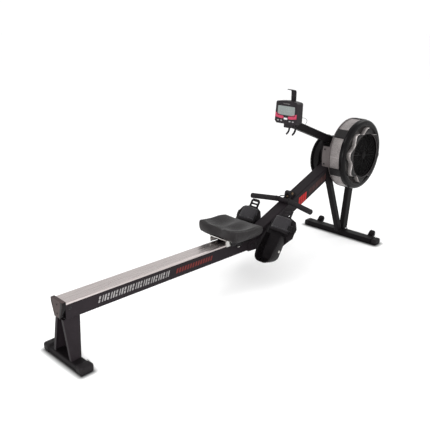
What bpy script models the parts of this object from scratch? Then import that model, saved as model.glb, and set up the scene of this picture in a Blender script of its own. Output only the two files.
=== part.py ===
"""Indoor air rower: rail with rolling seat, sloping main beam, fan flywheel, pull handle, swing-up display.

Metres, +Z up. The machine lies along X with the flywheel at +X, and Y is across it. The object's origin is
on the floor under the middle of its length. Places below are "stations": distances from the rear edge of
the rear foot.
"""

import math

import bmesh
import bpy
from mathutils import Matrix

# ---- driving dimensions ----
LENGTH = 2.50  # rear foot to the front of the fan
GAP = 0.0003  # air left between pieces that touch
SHEET = 0.003

RAIL_TOP = 0.3285  # top of the running track at the rear end
RAIL_FALL = math.radians(1.5)  # the rail sinks a little towards the flywheel
RAIL_WIDTH, RAIL_DEPTH = 0.086, 0.089
RAIL_START, RAIL_END = 0.0245, 1.340
TRACK_WIDTH, TRACK_LIP, TRACK_SHEET = 0.092, 0.013, 0.002
TRACK_END = RAIL_END - 0.012
END_CAP_SHEET = 0.020

FOOT_HEIGHT = 0.038
REAR_FOOT_WIDTH, REAR_FOOT_DEPTH = 0.330, 0.074
REAR_CAP, REAR_CAP_HEIGHT = 0.050, 0.044

BEAM_ANGLE = math.radians(21.3)
BEAM_WIDTH, BEAM_DEPTH = 0.080, 0.087
BEAM_START, BEAM_END = 1.349, 2.0845
BEAM_TOP_START = 0.2925  # height of the beam's top edge where it starts
CHAIN_MOUTH_X = 1.716

FRONT_FOOT_X = 2.341
FRONT_FOOT_WIDTH, FRONT_FOOT_DEPTH, FRONT_CAP = 0.610, 0.072, 0.040
LEG_THICKNESS, LEG_WALL = 0.036, 0.0025

WHEEL_X, WHEEL_Y, WHEEL_Z = 2.404, 0.2185, 0.043
WHEEL_RADIUS, WHEEL_WIDTH = 0.024, 0.028
WHEEL_PIN_RADIUS = 0.0034

AXLE_X, AXLE_Z = 2.266, 0.635
AXLE_RADIUS = 0.0085
YOKE_HALF = 0.0425  # to the middle of the side plates
YOKE_SHEET = 0.004
BEARING_RADIUS = 0.0165
DRUM_RADIUS, DRUM_WALL = 0.234, 0.003
GUARD_RADIUS = 0.1447
GUARD_AT = 0.172  # out of the drum, at the fan's centre
TRIM_BASE, TRIM_TOP = 0.1586, 0.1880
BLADES = 16
FAN_STEPS = 48
SPROCKET_TEETH = 14
SPROCKET_RADIUS = 0.0283  # 14 teeth on 12.7 mm chain
CHAIN_COVER_RADIUS = 0.152

SEAT_X = 1.157
SEAT_LENGTH, SEAT_WIDTH, SEAT_THICKNESS = 0.262, 0.332, 0.066
SEAT_BASE = 0.039  # underside of the pad above the track
CARRIAGE_HALF_LENGTH, CARRIAGE_HALF_WIDTH = 0.104, 0.0665
ROLLER_RADIUS, ROLLER_X = 0.017, 0.062
ROLLER_AXLE_RADIUS = 0.005
GUIDE_RADIUS, GUIDE_STUD_RADIUS = 0.010, 0.003
GUIDE_Z = -TRACK_LIP - GUIDE_RADIUS - 0.0004

HANDLE_X, HANDLE_Z = 1.640, 0.424
HANDLE_HALF, HANDLE_TUBE = 0.2385, 0.0145
GRIP_RADIUS, GRIP_START = 0.0178, 0.052

FOOT_ANGLE = math.radians(57)
FOOT_CENTRE_Y = 0.132
FOOT_HEEL_X, FOOT_HEEL_Z = 1.3404, 0.1295
BOARD_START, BOARD_END = 0.030, 0.352
BOARD_WIDTH, BOARD_SHEET = 0.104, 0.007
CROSS_BAR_AT, CROSS_BAR_RADIUS = 0.235, 0.0125
CROSS_BAR_DROP = -BOARD_SHEET - CROSS_BAR_RADIUS - 0.004

ARM_PIVOT_X, ARM_PIVOT_Z = 2.132, 0.730
ARM_ANGLE = math.radians(21.5)
ARM_LENGTH, ARM_WIDTH, ARM_HEIGHT = 0.452, 0.040, 0.048
PIVOT_RADIUS = 0.006

TILT_X, TILT_Z = 1.703, 0.899  # the axis that the display tilts about
CASE_FACE_X, CASE_BOTTOM = 1.626, 0.914
CASE_HEIGHT, CASE_DEPTH = 0.128, 0.056
CASE_LEAN = math.radians(3.7)
SCREEN_WIDTH, SCREEN_HEIGHT, SCREEN_Z = 0.129, 0.0545, 0.0755

# ---- colours: base colour, roughness, metallic ----
FINISHES = {
    "black_paint": ((0.028, 0.028, 0.030), 0.45, 0.0),
    "black_plastic": ((0.022, 0.022, 0.024), 0.5, 0.0),
    "soft_black": ((0.030, 0.029, 0.029), 0.75, 0.0),
    "dark_fabric": ((0.035, 0.034, 0.036), 0.85, 0.0),
    "brushed_steel": ((0.62, 0.60, 0.58), 0.3, 1.0),
    "zinc": ((0.70, 0.70, 0.68), 0.35, 1.0),
    "grey_panel": ((0.17, 0.165, 0.165), 0.4, 0.3),
    "fan_steel": ((0.30, 0.30, 0.31), 0.4, 0.9),
    "screen": ((0.44, 0.49, 0.46), 0.15, 0.0),
    "white_key": ((0.75, 0.75, 0.76), 0.4, 0.0),
}


# ---- helpers ----
def clear_scene():
    for old in list(bpy.data.objects):
        bpy.data.objects.remove(old)
    for old in list(bpy.data.collections):
        bpy.data.collections.remove(old)


def make_collection(name):
    found = bpy.data.collections.new(name)
    bpy.context.scene.collection.children.link(found)
    return found


def make_material(name):
    colour, roughness, metallic = FINISHES[name]
    made = bpy.data.materials.new(name)
    made.use_nodes = True
    shader = made.node_tree.nodes["Principled BSDF"]
    shader.inputs["Base Color"].default_value = (*colour, 1)
    shader.inputs["Roughness"].default_value = roughness
    shader.inputs["Metallic"].default_value = metallic
    made.diffuse_color = (*colour, 1)
    return made


clear_scene()
PARTS = make_collection("rowing_machine")
CUTTERS = make_collection("cutters")
MATERIALS = {name: make_material(name) for name in FINISHES}


def make_empty(name, location=(0, 0, 0), rotation=(0, 0, 0), parent=None):
    made = bpy.data.objects.new(name, None)
    PARTS.objects.link(made)
    made.location = location
    made.rotation_euler = rotation
    made.parent = parent
    return made


ROOT = make_empty("station_zero", (-LENGTH / 2, 0, 0))
RAIL = make_empty("rail_frame", (0, 0, RAIL_TOP), (0, RAIL_FALL, 0), ROOT)  # X along the track's top
SEAT = make_empty("seat_frame", (SEAT_X, 0, 0), (0, 0, 0), RAIL)
# X runs up the beam's top face, up the footboards and out along the arm; the fan's Z points to -Y
BEAM = make_empty("beam_frame", (BEAM_START, 0, BEAM_TOP_START), (0, -BEAM_ANGLE, 0), ROOT)
FOOT = make_empty("foot_frame", (FOOT_HEEL_X, 0, FOOT_HEEL_Z), (0, -FOOT_ANGLE, 0), ROOT)
FAN = make_empty("fan_frame", (AXLE_X, 0, AXLE_Z), (math.pi / 2, 0, 0), ROOT)
HANDLE = make_empty("handle_frame", (HANDLE_X, 0, HANDLE_Z), (0, 0, 0), ROOT)
ARM = make_empty("arm_frame", (ARM_PIVOT_X, 0, ARM_PIVOT_Z), (0, -ARM_ANGLE, math.pi), ROOT)
TILT = make_empty("tilt_frame", (TILT_X, 0, TILT_Z), (0, 0, 0), ROOT)
CASE = make_empty("case_frame", (CASE_FACE_X - TILT_X, 0, CASE_BOTTOM - TILT_Z), (0, CASE_LEAN, 0), TILT)


def place(obj, name, finish, location=(0, 0, 0), rotation=(0, 0, 0), parent=ROOT):
    obj.name = name
    obj.data.name = name
    obj.location = location
    obj.rotation_euler = rotation
    obj.parent = parent
    obj.data.materials.append(MATERIALS[finish])
    return obj


def helper(obj, location=(0, 0, 0), rotation=(0, 0, 0), parent=ROOT):
    """Places a cutter, or a piece that a Boolean joins to another."""
    obj.location = location
    obj.rotation_euler = rotation
    obj.parent = parent
    return obj


def mesh_object(bm, name):
    mesh = bpy.data.meshes.new(name)
    bmesh.ops.recalc_face_normals(bm, faces=bm.faces)
    bm.to_mesh(mesh)
    bm.free()
    made = bpy.data.objects.new(name, mesh)
    PARTS.objects.link(made)
    return made


def smooth(obj, degrees=35):
    obj.data.shade_smooth()
    obj.data.set_sharp_from_angle(angle=math.radians(degrees))
    return obj


def bevel(obj, width, segments=2, degrees=40):
    added = obj.modifiers.new("bevel", "BEVEL")
    added.width = width
    added.segments = segments
    added.limit_method = "ANGLE"
    added.angle_limit = math.radians(degrees)
    return obj


def solidify(obj, thickness, offset=-1.0):
    added = obj.modifiers.new("sheet", "SOLIDIFY")
    added.thickness = thickness
    added.offset = offset
    added.use_even_offset = True
    return obj


def box(size, centre=(0, 0, 0)):
    bm = bmesh.new()
    bmesh.ops.create_cube(bm, size=1, matrix=Matrix.Translation(centre) @ Matrix.Diagonal((*size, 1)))
    return mesh_object(bm, "box")


def rod(radius, length, sides=24, axis="Y"):
    turn = {"X": Matrix.Rotation(math.pi / 2, 4, "Y"), "Y": Matrix.Rotation(-math.pi / 2, 4, "X")}[axis]
    bm = bmesh.new()
    bmesh.ops.create_cone(
        bm, cap_ends=True, segments=sides, radius1=radius, radius2=radius, depth=length, matrix=turn
    )
    return smooth(mesh_object(bm, "rod"))


def turned(profile, closed=True, steps=48):
    """A solid of revolution about local Z from (radius, height) points that run down the outer side."""
    bm = bmesh.new()
    points = [bm.verts.new((r, 0, h)) for r, h in profile]
    for one, two in zip(points, points[1:]):
        bm.edges.new((one, two))
    if closed:
        bm.edges.new((points[-1], points[0]))
    made = mesh_object(bm, "turned")
    screw = made.modifiers.new("screw", "SCREW")
    screw.steps = steps
    screw.render_steps = steps
    screw.use_merge_vertices = True
    screw.merge_threshold = 0.00005
    return smooth(made)


def plate(outline, thickness, holes=()):
    """A flat piece in the local XY plane: an outline with any holes, thickness centred on the plane."""
    curve = bpy.data.curves.new("plate", "CURVE")
    curve.dimensions = "2D"
    curve.fill_mode = "BOTH"
    curve.extrude = thickness / 2
    for ring in (outline, *holes):
        spline = curve.splines.new("POLY")
        spline.points.add(len(ring) - 1)
        for point, (x, y) in zip(spline.points, ring):
            point.co = (x, y, 0, 1)
        spline.use_cyclic_u = True
    made = bpy.data.objects.new("plate", curve)
    PARTS.objects.link(made)
    return to_mesh(made)


def tube_curve(points, radius, rings=3, kind="POLY"):
    curve = bpy.data.curves.new("tube", "CURVE")
    curve.dimensions = "3D"
    curve.bevel_depth = radius
    curve.bevel_resolution = rings
    curve.use_fill_caps = True
    curve.resolution_u = 4
    spline = curve.splines.new(kind)
    spline.points.add(len(points) - 1)
    for point, place_at in zip(spline.points, points):
        point.co = (*place_at, 1)
    if kind == "NURBS":
        spline.order_u = 4
        spline.use_endpoint_u = True
    made = bpy.data.objects.new("tube", curve)
    PARTS.objects.link(made)
    return made


def to_mesh(obj):
    """A curve object as a mesh object with its caps welded, in the same place."""
    bpy.context.view_layer.update()
    ready = obj.evaluated_get(bpy.context.evaluated_depsgraph_get())
    bm = bmesh.new()
    bm.from_mesh(bpy.data.meshes.new_from_object(ready))
    bmesh.ops.remove_doubles(bm, verts=bm.verts, dist=0.00001)
    made = mesh_object(bm, obj.name)
    made.matrix_world = obj.matrix_world
    bpy.data.objects.remove(obj)
    return made


def circle(radius, sides=24):
    turn = 2 * math.pi / sides
    return [(radius * math.cos(turn * i), radius * math.sin(turn * i)) for i in range(sides)]


def rounded_rectangle(width, height, radius, corner_steps=2):
    """Points of a rounded rectangle about the origin, width along the first axis."""
    points = []
    for corner, (sx, sy) in enumerate(((1, 1), (-1, 1), (-1, -1), (1, -1))):
        for i in range(corner_steps + 1):
            turn = math.pi / 2 * (corner + i / corner_steps)
            cx, cy = sx * (width / 2 - radius), sy * (height / 2 - radius)
            points.append((cx + radius * math.cos(turn), cy + radius * math.sin(turn)))
    return points


def shifted(section, rise):
    return [(y, z + rise) for y, z in section]


def open_tube(section, start, end, wall, start_slant=0.0, end_slant=0.0):
    """A tube along X with a (y, z) section and open ends, cut at a slant where a slant is given."""
    bm = bmesh.new()
    rings = []
    for x, slant in ((start, start_slant), (end, end_slant)):
        rings.append([bm.verts.new((x + z * math.tan(slant), y, z)) for y, z in section])
    for i in range(len(section)):
        j = (i + 1) % len(section)
        bm.faces.new((rings[0][i], rings[1][i], rings[1][j], rings[0][j]))
    return solidify(smooth(mesh_object(bm, "tube")), wall)


def loft(rows, name):
    """An open surface through rows of points, all of one length."""
    bm = bmesh.new()
    rings = [[bm.verts.new(point) for point in row] for row in rows]
    for one, two in zip(rings, rings[1:]):
        for i in range(len(one) - 1):
            bm.faces.new((one[i], one[i + 1], two[i + 1], two[i]))
    return mesh_object(bm, name)


def boolean(obj, other, operation):
    added = obj.modifiers.new(operation.lower(), "BOOLEAN")
    added.operation = operation
    added.object = other
    added.solver = "EXACT"
    other.hide_render = True
    other.display_type = "WIRE"
    if other.name not in CUTTERS.objects:
        CUTTERS.objects.link(other)
        PARTS.objects.unlink(other)
    return obj


def cut(obj, *cutters):
    for cutter in cutters:
        boolean(obj, cutter, "DIFFERENCE")
    return obj


def join(obj, *pieces):
    for piece in pieces:
        boolean(obj, piece, "UNION")
    return obj


# ---- rail and rear stand ----
def rail_height(x):
    """Height of the track's top at a station."""
    return RAIL_TOP - x * math.tan(RAIL_FALL)


def make_rail():
    tube = rounded_rectangle(RAIL_WIDTH, RAIL_DEPTH - TRACK_SHEET, 0.004)
    rail = open_tube(shifted(tube, -RAIL_DEPTH / 2 - TRACK_SHEET), RAIL_START, RAIL_END, SHEET)
    place(rail, "monorail", "black_paint", parent=RAIL)

    half, chamfer = TRACK_WIDTH / 2, 0.004
    right = [(-half, -TRACK_LIP), (-half, -chamfer), (-half + chamfer, 0)]
    outline = right + [(-y, z) for y, z in reversed(right)]
    track = loft([[(x, y, z) for y, z in outline] for x in (RAIL_START, TRACK_END)], "track")
    place(solidify(track, TRACK_SHEET - GAP), "rail_track", "brushed_steel", parent=RAIL)


def make_end_cap():
    """A shield-shaped cap, wider at the top, that also stops the seat."""
    top, bottom, depth, rise, shoulder = 0.048, 0.024, 0.086, 0.004, -0.016
    right = [(bottom, -depth), (top, shoulder), (top, rise)]
    outline = right + [(-y, z) for y, z in reversed(right)]
    cap = bevel(plate(outline, END_CAP_SHEET), 0.003)
    location = (RAIL_START - END_CAP_SHEET / 2 - GAP, 0, 0)
    place(cap, "rail_end_cap", "black_plastic", location, (math.pi / 2, 0, math.pi / 2), RAIL)


def make_rear_stand():
    middle = REAR_FOOT_DEPTH / 2
    bar_half = REAR_FOOT_WIDTH / 2 - REAR_CAP - GAP
    section = rounded_rectangle(REAR_FOOT_DEPTH - 0.010, FOOT_HEIGHT - 0.004, 0.005)
    bar = open_tube(shifted(section, FOOT_HEIGHT / 2 + 0.001), -bar_half, bar_half, SHEET)
    place(bar, "rear_foot_bar", "black_paint", (middle, 0, 0), (0, 0, math.pi / 2))
    for side, word in ((1, "left"), (-1, "right")):
        cap = bevel(box((REAR_FOOT_DEPTH, REAR_CAP, REAR_CAP_HEIGHT)), 0.012, 3)
        location = (middle, side * (REAR_FOOT_WIDTH - REAR_CAP) / 2, REAR_CAP_HEIGHT / 2)
        place(cap, f"rear_foot_cap_{word}", "black_plastic", location)

    # folded sheet leg: a tapering channel, open to the rear, with a narrow flange along each rear edge
    low, high, flange = FOOT_HEIGHT + GAP - 0.001, RAIL_TOP - RAIL_DEPTH - 0.0045, 0.014
    rows = []
    for z, rear, front in ((low, (0.012, 0.074), (0.062, 0.070)), (high, (0.014, 0.030), (0.092, 0.038))):
        left = [(rear[0], rear[1] - flange, z), (*rear, z), (*front, z)]
        rows.append(left + [(x, -y, z) for x, y, z in reversed(left)])
    place(solidify(loft(rows, "leg"), SHEET, 1.0), "rear_leg", "black_paint")


# ---- main beam ----
def beam_height(x):
    """Height of the beam's top face at a station."""
    return BEAM_TOP_START + (x - BEAM_START) * math.tan(BEAM_ANGLE)


def up_beam(x):
    """Distance up the beam's top face of a station."""
    return (x - BEAM_START) / math.cos(BEAM_ANGLE)


def make_beam():
    section = shifted(rounded_rectangle(BEAM_WIDTH, BEAM_DEPTH, 0.006, 3), -BEAM_DEPTH / 2)
    beam = open_tube(section, 0, up_beam(BEAM_END), SHEET, BEAM_ANGLE, BEAM_ANGLE)
    place(beam, "main_beam", "black_paint", parent=BEAM)
    mouth = helper(box((0.050, 0.030, 0.030)), (up_beam(CHAIN_MOUTH_X), 0, 0), parent=BEAM)
    cross_hole = helper(rod(CROSS_BAR_RADIUS + GAP, 0.3), (CROSS_BAR_AT, 0, CROSS_BAR_DROP), parent=FOOT)
    cut(beam, mouth, cross_hole)


def make_knee():
    """A bent sheet that holds the rail's front end to the beam's lower end, from below and both sides."""
    half, height = RAIL_WIDTH / 2 + 0.0013, 0.058
    rail_drop = RAIL_DEPTH + 0.0032
    beam_drop = BEAM_DEPTH / math.cos(BEAM_ANGLE) + 0.0008
    rows = []
    for x, bottom in (
        (1.262, rail_height(1.262) - rail_drop),
        (1.345, beam_height(1.345) - beam_drop),
        (1.425, beam_height(1.425) - beam_drop),
    ):
        left = [(x, half, bottom + height), (x, half, bottom)]
        rows.append(left + [(x, -half, bottom), (x, -half, bottom + height)])
    place(solidify(loft(rows, "knee"), SHEET, 1.0), "knee_bracket", "black_paint")


# ---- column, legs and front foot ----
YOKE_OUTLINE = (
    (2.035, 0.462), (2.165, 0.452), (2.215, 0.500), (2.455, 0.500), (2.465, 0.555), (2.345, 0.600),
    (2.325, 0.690), (2.215, 0.705), (2.160, 0.757), (2.105, 0.757), (2.088, 0.700), (2.088, 0.588),
    (2.045, 0.569),
)  # (station, height) of a side plate
YOKE_FRONT = slice(10, 12)  # the two outline points that the cross sheet joins


def make_column():
    bm = bmesh.new()
    corners = [bm.verts.new((x, YOKE_HALF, z)) for x, z in YOKE_OUTLINE]
    bm.faces.new(corners)
    upper, lower = corners[YOKE_FRONT]
    middle = [bm.verts.new((v.co.x, 0, v.co.z)) for v in (lower, upper)]
    bm.faces.new((upper, lower, *middle))
    yoke = mesh_object(bm, "column")
    mirror = yoke.modifiers.new("mirror", "MIRROR")
    mirror.use_axis = (False, True, False)
    mirror.merge_threshold = 0.0001
    solidify(yoke, YOKE_SHEET, 0.0)
    place(yoke, "column", "black_paint")
    axle_hole = helper(rod(BEARING_RADIUS, 0.2), (AXLE_X, 0, AXLE_Z))
    pivot_hole = helper(rod(PIVOT_RADIUS + GAP, 0.2, 16), (ARM_PIVOT_X, 0, ARM_PIVOT_Z))
    cut(yoke, axle_hole, pivot_hole)


def make_column_cover():
    """A curved sheet over the rear of the drum's edge, with two screws."""
    inner, sheet, start, end, steps = DRUM_RADIUS + GAP, 0.0015, math.radians(162), math.radians(196), 8
    rows = []
    for height in (0.004, 0.0612):
        turns = [start + (end - start) * i / steps for i in range(steps + 1)]
        rows.append([(inner * math.cos(turn), inner * math.sin(turn), height) for turn in turns])
    cover = solidify(loft(rows, "cover"), sheet, 1.0)
    place(cover, "column_cover", "grey_panel", parent=FAN)
    for turn in (math.radians(167), math.radians(191)):
        centre = ((inner + 0.0015) * math.cos(turn), (inner + 0.0015) * math.sin(turn), 0.020)
        join(cover, helper(rod(0.0045, 0.0030, 12, "X"), centre, (0, 0, turn), parent=FAN))


def make_leg(name, foot, head, width):
    """A rectangular leg tube between two (x, z) points, with level ends."""
    (x0, z0), (x1, z1) = foot, head
    lean = math.atan2(x1 - x0, z1 - z0)
    length = (z1 - z0) / math.cos(lean)
    leg = open_tube(rounded_rectangle(LEG_THICKNESS, width, 0.004), 0, length, LEG_WALL, -lean, -lean)
    place(leg, name, "black_paint", (x0, 0, z0), (0, lean - math.pi / 2, 0))


def make_wheel_fork(side):
    """Two ears and a pin that hold one transport wheel in front of the foot bar."""
    ear_outline = (
        (-0.031, -0.031), (-0.031, -0.012), (-0.008, 0.009), (0.008, 0.009), (0.010, -0.009),
        (-0.014, -0.031),
    )
    pieces = []
    for inner in (-1, 1):
        ear = plate(ear_outline, 0.003)
        ear_y = side * WHEEL_Y + inner * (WHEEL_WIDTH / 2 + 0.004)
        pieces.append(helper(ear, (WHEEL_X, ear_y, WHEEL_Z), (math.pi / 2, 0, 0)))
    pin = helper(rod(WHEEL_PIN_RADIUS, WHEEL_WIDTH + 0.014, 16), (WHEEL_X, side * WHEEL_Y, WHEEL_Z))
    return (*pieces, pin)


def make_front_stand():
    foot_top = FOOT_HEIGHT + 0.002
    make_leg("rear_support_leg", (2.303, foot_top), (2.106, 0.530), 0.040)
    make_leg("front_support_leg", (2.364, foot_top), (2.428, 0.545), 0.058)

    bar_half = FRONT_FOOT_WIDTH / 2 - FRONT_CAP - GAP
    section = rounded_rectangle(FRONT_FOOT_DEPTH - 0.004, FOOT_HEIGHT - 0.002, 0.006, 3)
    bar = open_tube(shifted(section, FOOT_HEIGHT / 2 + 0.001), -bar_half, bar_half, SHEET)
    place(bar, "front_foot_bar", "black_paint", (FRONT_FOOT_X, 0, 0), (0, 0, math.pi / 2))
    for side, word in ((1, "left"), (-1, "right")):
        join(bar, *make_wheel_fork(side))
        bore, half = WHEEL_PIN_RADIUS + GAP, WHEEL_WIDTH / 2
        right = [
            (bore, half), (0.010, half), (0.012, half - 0.003), (WHEEL_RADIUS - 0.006, half - 0.003),
            (WHEEL_RADIUS - 0.003, half), (WHEEL_RADIUS, half - 0.003),
        ]
        wheel = turned(right + [(r, -h) for r, h in reversed(right)], steps=20)
        wheel_at = (WHEEL_X, side * WHEEL_Y, WHEEL_Z)
        place(wheel, f"transport_wheel_{word}", "soft_black", wheel_at, (-math.pi / 2, 0, 0))

        cap = bevel(box((FRONT_FOOT_DEPTH, FRONT_CAP, foot_top)), 0.012, 3)
        cap_at = (FRONT_FOOT_X, side * (FRONT_FOOT_WIDTH - FRONT_CAP) / 2, foot_top / 2)
        place(cap, f"front_foot_cap_{word}", "black_plastic", cap_at)


# ---- fan; heights below are along the fan frame's Z, so out of the drum ----
def make_fan_covers():
    r, wall = DRUM_RADIUS, DRUM_WALL
    near = turned((
        (0.176, 0.158), (0.190, 0.158), (0.193, 0.165), (r - 0.016, 0.165), (r - 0.005, 0.160), (r, 0.149),
        (r, 0.133), (r - wall, 0.133), (r - wall, 0.148), (r - 0.008, 0.157), (r - 0.017, 0.162),
        (0.196, 0.162), (0.193, 0.155), (0.176, 0.155),
    ), steps=FAN_STEPS)
    place(near, "fan_cover_near", "black_plastic", parent=FAN)
    far = turned((
        (r - wall, 0.062), (r, 0.062), (r, 0.056), (r - 0.004, 0.0515), (r - 0.010, 0.0505), (0.024, 0.0505),
        (0.024, 0.0535), (r - 0.012, 0.0535), (r - wall, 0.057),
    ), steps=FAN_STEPS)
    place(far, "fan_cover_far", "black_plastic", parent=FAN)
    outer, inner, top, bottom = r - wall - GAP, r - wall - GAP - 0.0015, 0.1405, 0.0585
    band = turned(((inner, top), (outer, top), (outer, bottom), (inner, bottom)), steps=FAN_STEPS)
    place(band, "fan_band", "brushed_steel", parent=FAN)


def make_guard():
    """A flat spoked grille over the mouth of the drum."""
    spokes, mouth, hub, gap_share, hub_cut = 8, 0.138, 0.026, 0.06, 0.1
    windows = []
    for i in range(spokes):
        start, end = (2 * math.pi * (i + share) / spokes for share in (gap_share, 1 - gap_share))
        outer = [(mouth, start + (end - start) * k / 6) for k in range(7)]
        inner = [(hub, turn) for turn in (end - hub_cut, (start + end) / 2, start + hub_cut)]
        windows.append([(r * math.cos(turn), r * math.sin(turn)) for r, turn in outer + inner])
    guard = plate(circle(GUARD_RADIUS, 48), 0.002, windows)
    place(guard, "fan_guard", "fan_steel", (0, 0, GUARD_AT), parent=FAN)


def lobed_circle(radius, wave, points=96, lobes=8):
    """A circle drawn out to eight lobes, one of them 9 degrees below the +X axis."""
    outline = []
    for i in range(points):
        turn = 2 * math.pi * i / points
        reach = radius + wave * math.cos(lobes * (turn + math.radians(9)))
        outline.append((reach * math.cos(turn), reach * math.sin(turn)))
    return outline


def make_trim_ring():
    """A raised rim round the guard, standing out of the drum, its outline drawn out to eight lobes."""
    trim = plate(lobed_circle(0.169, 0.0165), TRIM_TOP - TRIM_BASE, [circle(GUARD_RADIUS + GAP, 48)])
    place(trim, "fan_trim_ring", "brushed_steel", (0, 0, (TRIM_BASE + TRIM_TOP) / 2), parent=FAN)


def make_flywheel():
    bore, middle = AXLE_RADIUS + GAP, 0.101
    outer = [(bore, 0.019), (0.028, 0.019), (0.030, 0.003), (0.150, 0.003), (0.152, 0.011), (0.200, 0.011)]
    disc = turned([(r, middle + h) for r, h in outer] + [(r, middle - h) for r, h in reversed(outer)])
    place(disc, "flywheel", "fan_steel", parent=FAN)
    bm = bmesh.new()
    for i in range(BLADES):
        turn = Matrix.Rotation(2 * math.pi * i / BLADES, 4, "Z")
        lean = Matrix.Rotation(math.radians(25), 4, "Z")
        size = Matrix.Diagonal((0.046, 0.003, 0.022, 1))
        bmesh.ops.create_cube(bm, size=1, matrix=turn @ Matrix.Translation((0.178, 0, 0.121)) @ lean @ size)
    join(disc, helper(mesh_object(bm, "blades"), parent=FAN))


def make_axle():
    r = AXLE_RADIUS
    top, bottom, chamfer = 0.135, -0.099, 0.001
    profile = ((0, top), (r - chamfer, top), (r, top - chamfer), (r, bottom + chamfer), (r - chamfer, bottom))
    axle = turned((*profile, (0, bottom)), False, 24)
    place(axle, "flywheel_axle", "zinc", parent=FAN)
    bore, rim, half = r + GAP, BEARING_RADIUS - GAP, 0.005
    for side, word in ((-1, "left"), (1, "right")):
        bearing = turned(((bore, half), (rim, half), (rim, -half), (bore, -half)), steps=24)
        place(bearing, f"axle_bearing_{word}", "zinc", (0, 0, side * YOKE_HALF), parent=FAN)


def make_sprocket():
    bore, rim, half = AXLE_RADIUS + GAP, 0.019, 0.014  # of the hub
    points_per_tooth = 4
    outline = []
    for i in range(SPROCKET_TEETH * points_per_tooth):
        turn = 2 * math.pi * (i + 0.5) / (SPROCKET_TEETH * points_per_tooth)
        radius = SPROCKET_RADIUS + (0.0032 if i % points_per_tooth in (1, 2) else -0.0028)
        outline.append((radius * math.cos(turn), radius * math.sin(turn)))
    sprocket = plate(outline, 0.005, [circle(bore)])
    place(sprocket, "drive_sprocket", "zinc", parent=FAN)
    hub = turned(((bore, half), (rim, half), (rim, -half), (bore, -half)), steps=24)
    join(sprocket, helper(hub, parent=FAN))


def make_chain_cover():
    """A round dish with a channel round its side, on the far side of the column."""
    r = CHAIN_COVER_RADIUS
    mouth, channel = 0.075, 0.015  # radius of the opening to the column, and depth of the channel
    dish = turned((
        (0, -0.119), (r - 0.010, -0.119), (r - 0.003, -0.1145), (r - 0.003, -0.108), (r - channel, -0.104),
        (r - channel, -0.066), (r - 0.003, -0.062), (r - 0.003, -0.056), (r - 0.008, -0.051), (mouth, -0.051),
        (mouth, -0.048), (r - 0.006, -0.048), (r, -0.054), (r, -0.064), (r - channel + 0.003, -0.068),
        (r - channel + 0.003, -0.102), (r, -0.106), (r, -0.116), (r - 0.008, -0.122), (0, -0.122),
    ), False, steps=36)
    place(dish, "chain_cover", "black_plastic", (-0.044, -0.047, 0), parent=FAN)


# ---- chain and handle ----
def make_chain():
    start_x, start_z = 1.7285, 0.4125
    end_x, end_z = AXLE_X - 0.008, AXLE_Z - SPROCKET_RADIUS - 0.009
    run, climb = end_x - start_x, end_z - start_z
    chain = box((math.hypot(run, climb), 0.008, 0.009))
    location = ((start_x + end_x) / 2, 0, (start_z + end_z) / 2)
    place(chain, "drive_chain", "zinc", location, (0, -math.atan2(climb, run), 0))


def make_chain_guide():
    """The rest that the parked handle lies in: a block with a slot for the chain."""
    outline = (
        (-0.030, 0.0006), (0.036, 0.0006), (0.036, 0.012), (0.014, 0.040), (-0.004, 0.042), (-0.014, 0.030),
        (-0.020, 0.012), (-0.030, 0.010),
    )  # up the beam, and out of its top face
    guide_at = (up_beam(1.702), 0, 0)
    guide = plate(outline, 0.046)
    place(guide, "chain_guide", "black_plastic", guide_at, (math.pi / 2, 0, 0), BEAM)
    cut(guide, helper(box((0.12, 0.016, 0.040), (0, 0, 0.014)), guide_at, parent=BEAM))


def make_handle():
    """A bar bent back slightly at each side, with a rubber grip on each end."""
    straight, back, drop = 0.045, 0.032, 0.016

    def point(y):
        share = max(0.0, (abs(y) - straight) / (HANDLE_HALF - straight))
        return (-back * share, y, -drop * share)

    bar = tube_curve([point(y) for y in (-0.229, -0.12, -straight, 0, straight, 0.12, 0.229)], HANDLE_TUBE)
    place(bar, "handle_bar", "black_paint", parent=HANDLE)
    lean_back = math.atan2(back, HANDLE_HALF - straight)
    lean_down = math.atan2(drop, math.hypot(back, HANDLE_HALF - straight))
    end = (HANDLE_HALF - GRIP_START) / (math.cos(lean_back) * math.cos(lean_down))
    bore, floor = HANDLE_TUBE + GAP, end - 0.006
    for side, word in ((1, "left"), (-1, "right")):
        grip = turned((
            (0, end), (GRIP_RADIUS - 0.004, end), (GRIP_RADIUS, end - 0.004), (GRIP_RADIUS, 0.002),
            (GRIP_RADIUS - 0.001, 0), (bore, 0), (bore, floor), (0, floor),
        ), False, 20)
        turn = (-side * (math.pi / 2 + lean_down), 0, side * lean_back)
        place(grip, f"grip_{word}", "soft_black", point(side * GRIP_START), turn, HANDLE)


# ---- seat ----
def make_carriage():
    half = 0.060
    top, bottom, chamfer = SEAT_BASE - GAP, -0.006, 0.005
    left = [(CARRIAGE_HALF_WIDTH, bottom), (half, top - chamfer), (half - chamfer, top)]
    section = left + [(-y, z) for y, z in reversed(left)]
    ends = (-CARRIAGE_HALF_LENGTH, CARRIAGE_HALF_LENGTH)
    carriage = loft([[(x, y, z) for y, z in section] for x in ends], "carriage")
    place(solidify(carriage, SHEET), "seat_carriage", "zinc", parent=SEAT)
    for x in (-ROLLER_X, ROLLER_X):
        bore = rod(ROLLER_AXLE_RADIUS + GAP, 0.2, 16)
        cut(carriage, helper(bore, (x, 0, ROLLER_RADIUS + GAP), parent=SEAT))
    for side in (1, -1):
        hanger = helper(box((0.018, 0.003, 0.038)), (0, side * 0.0650, GUIDE_Z + 0.009), parent=SEAT)
        stud = helper(rod(GUIDE_STUD_RADIUS, 0.020, 16), (0, side * 0.0555, GUIDE_Z), parent=SEAT)
        join(carriage, hanger, stud)


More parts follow.
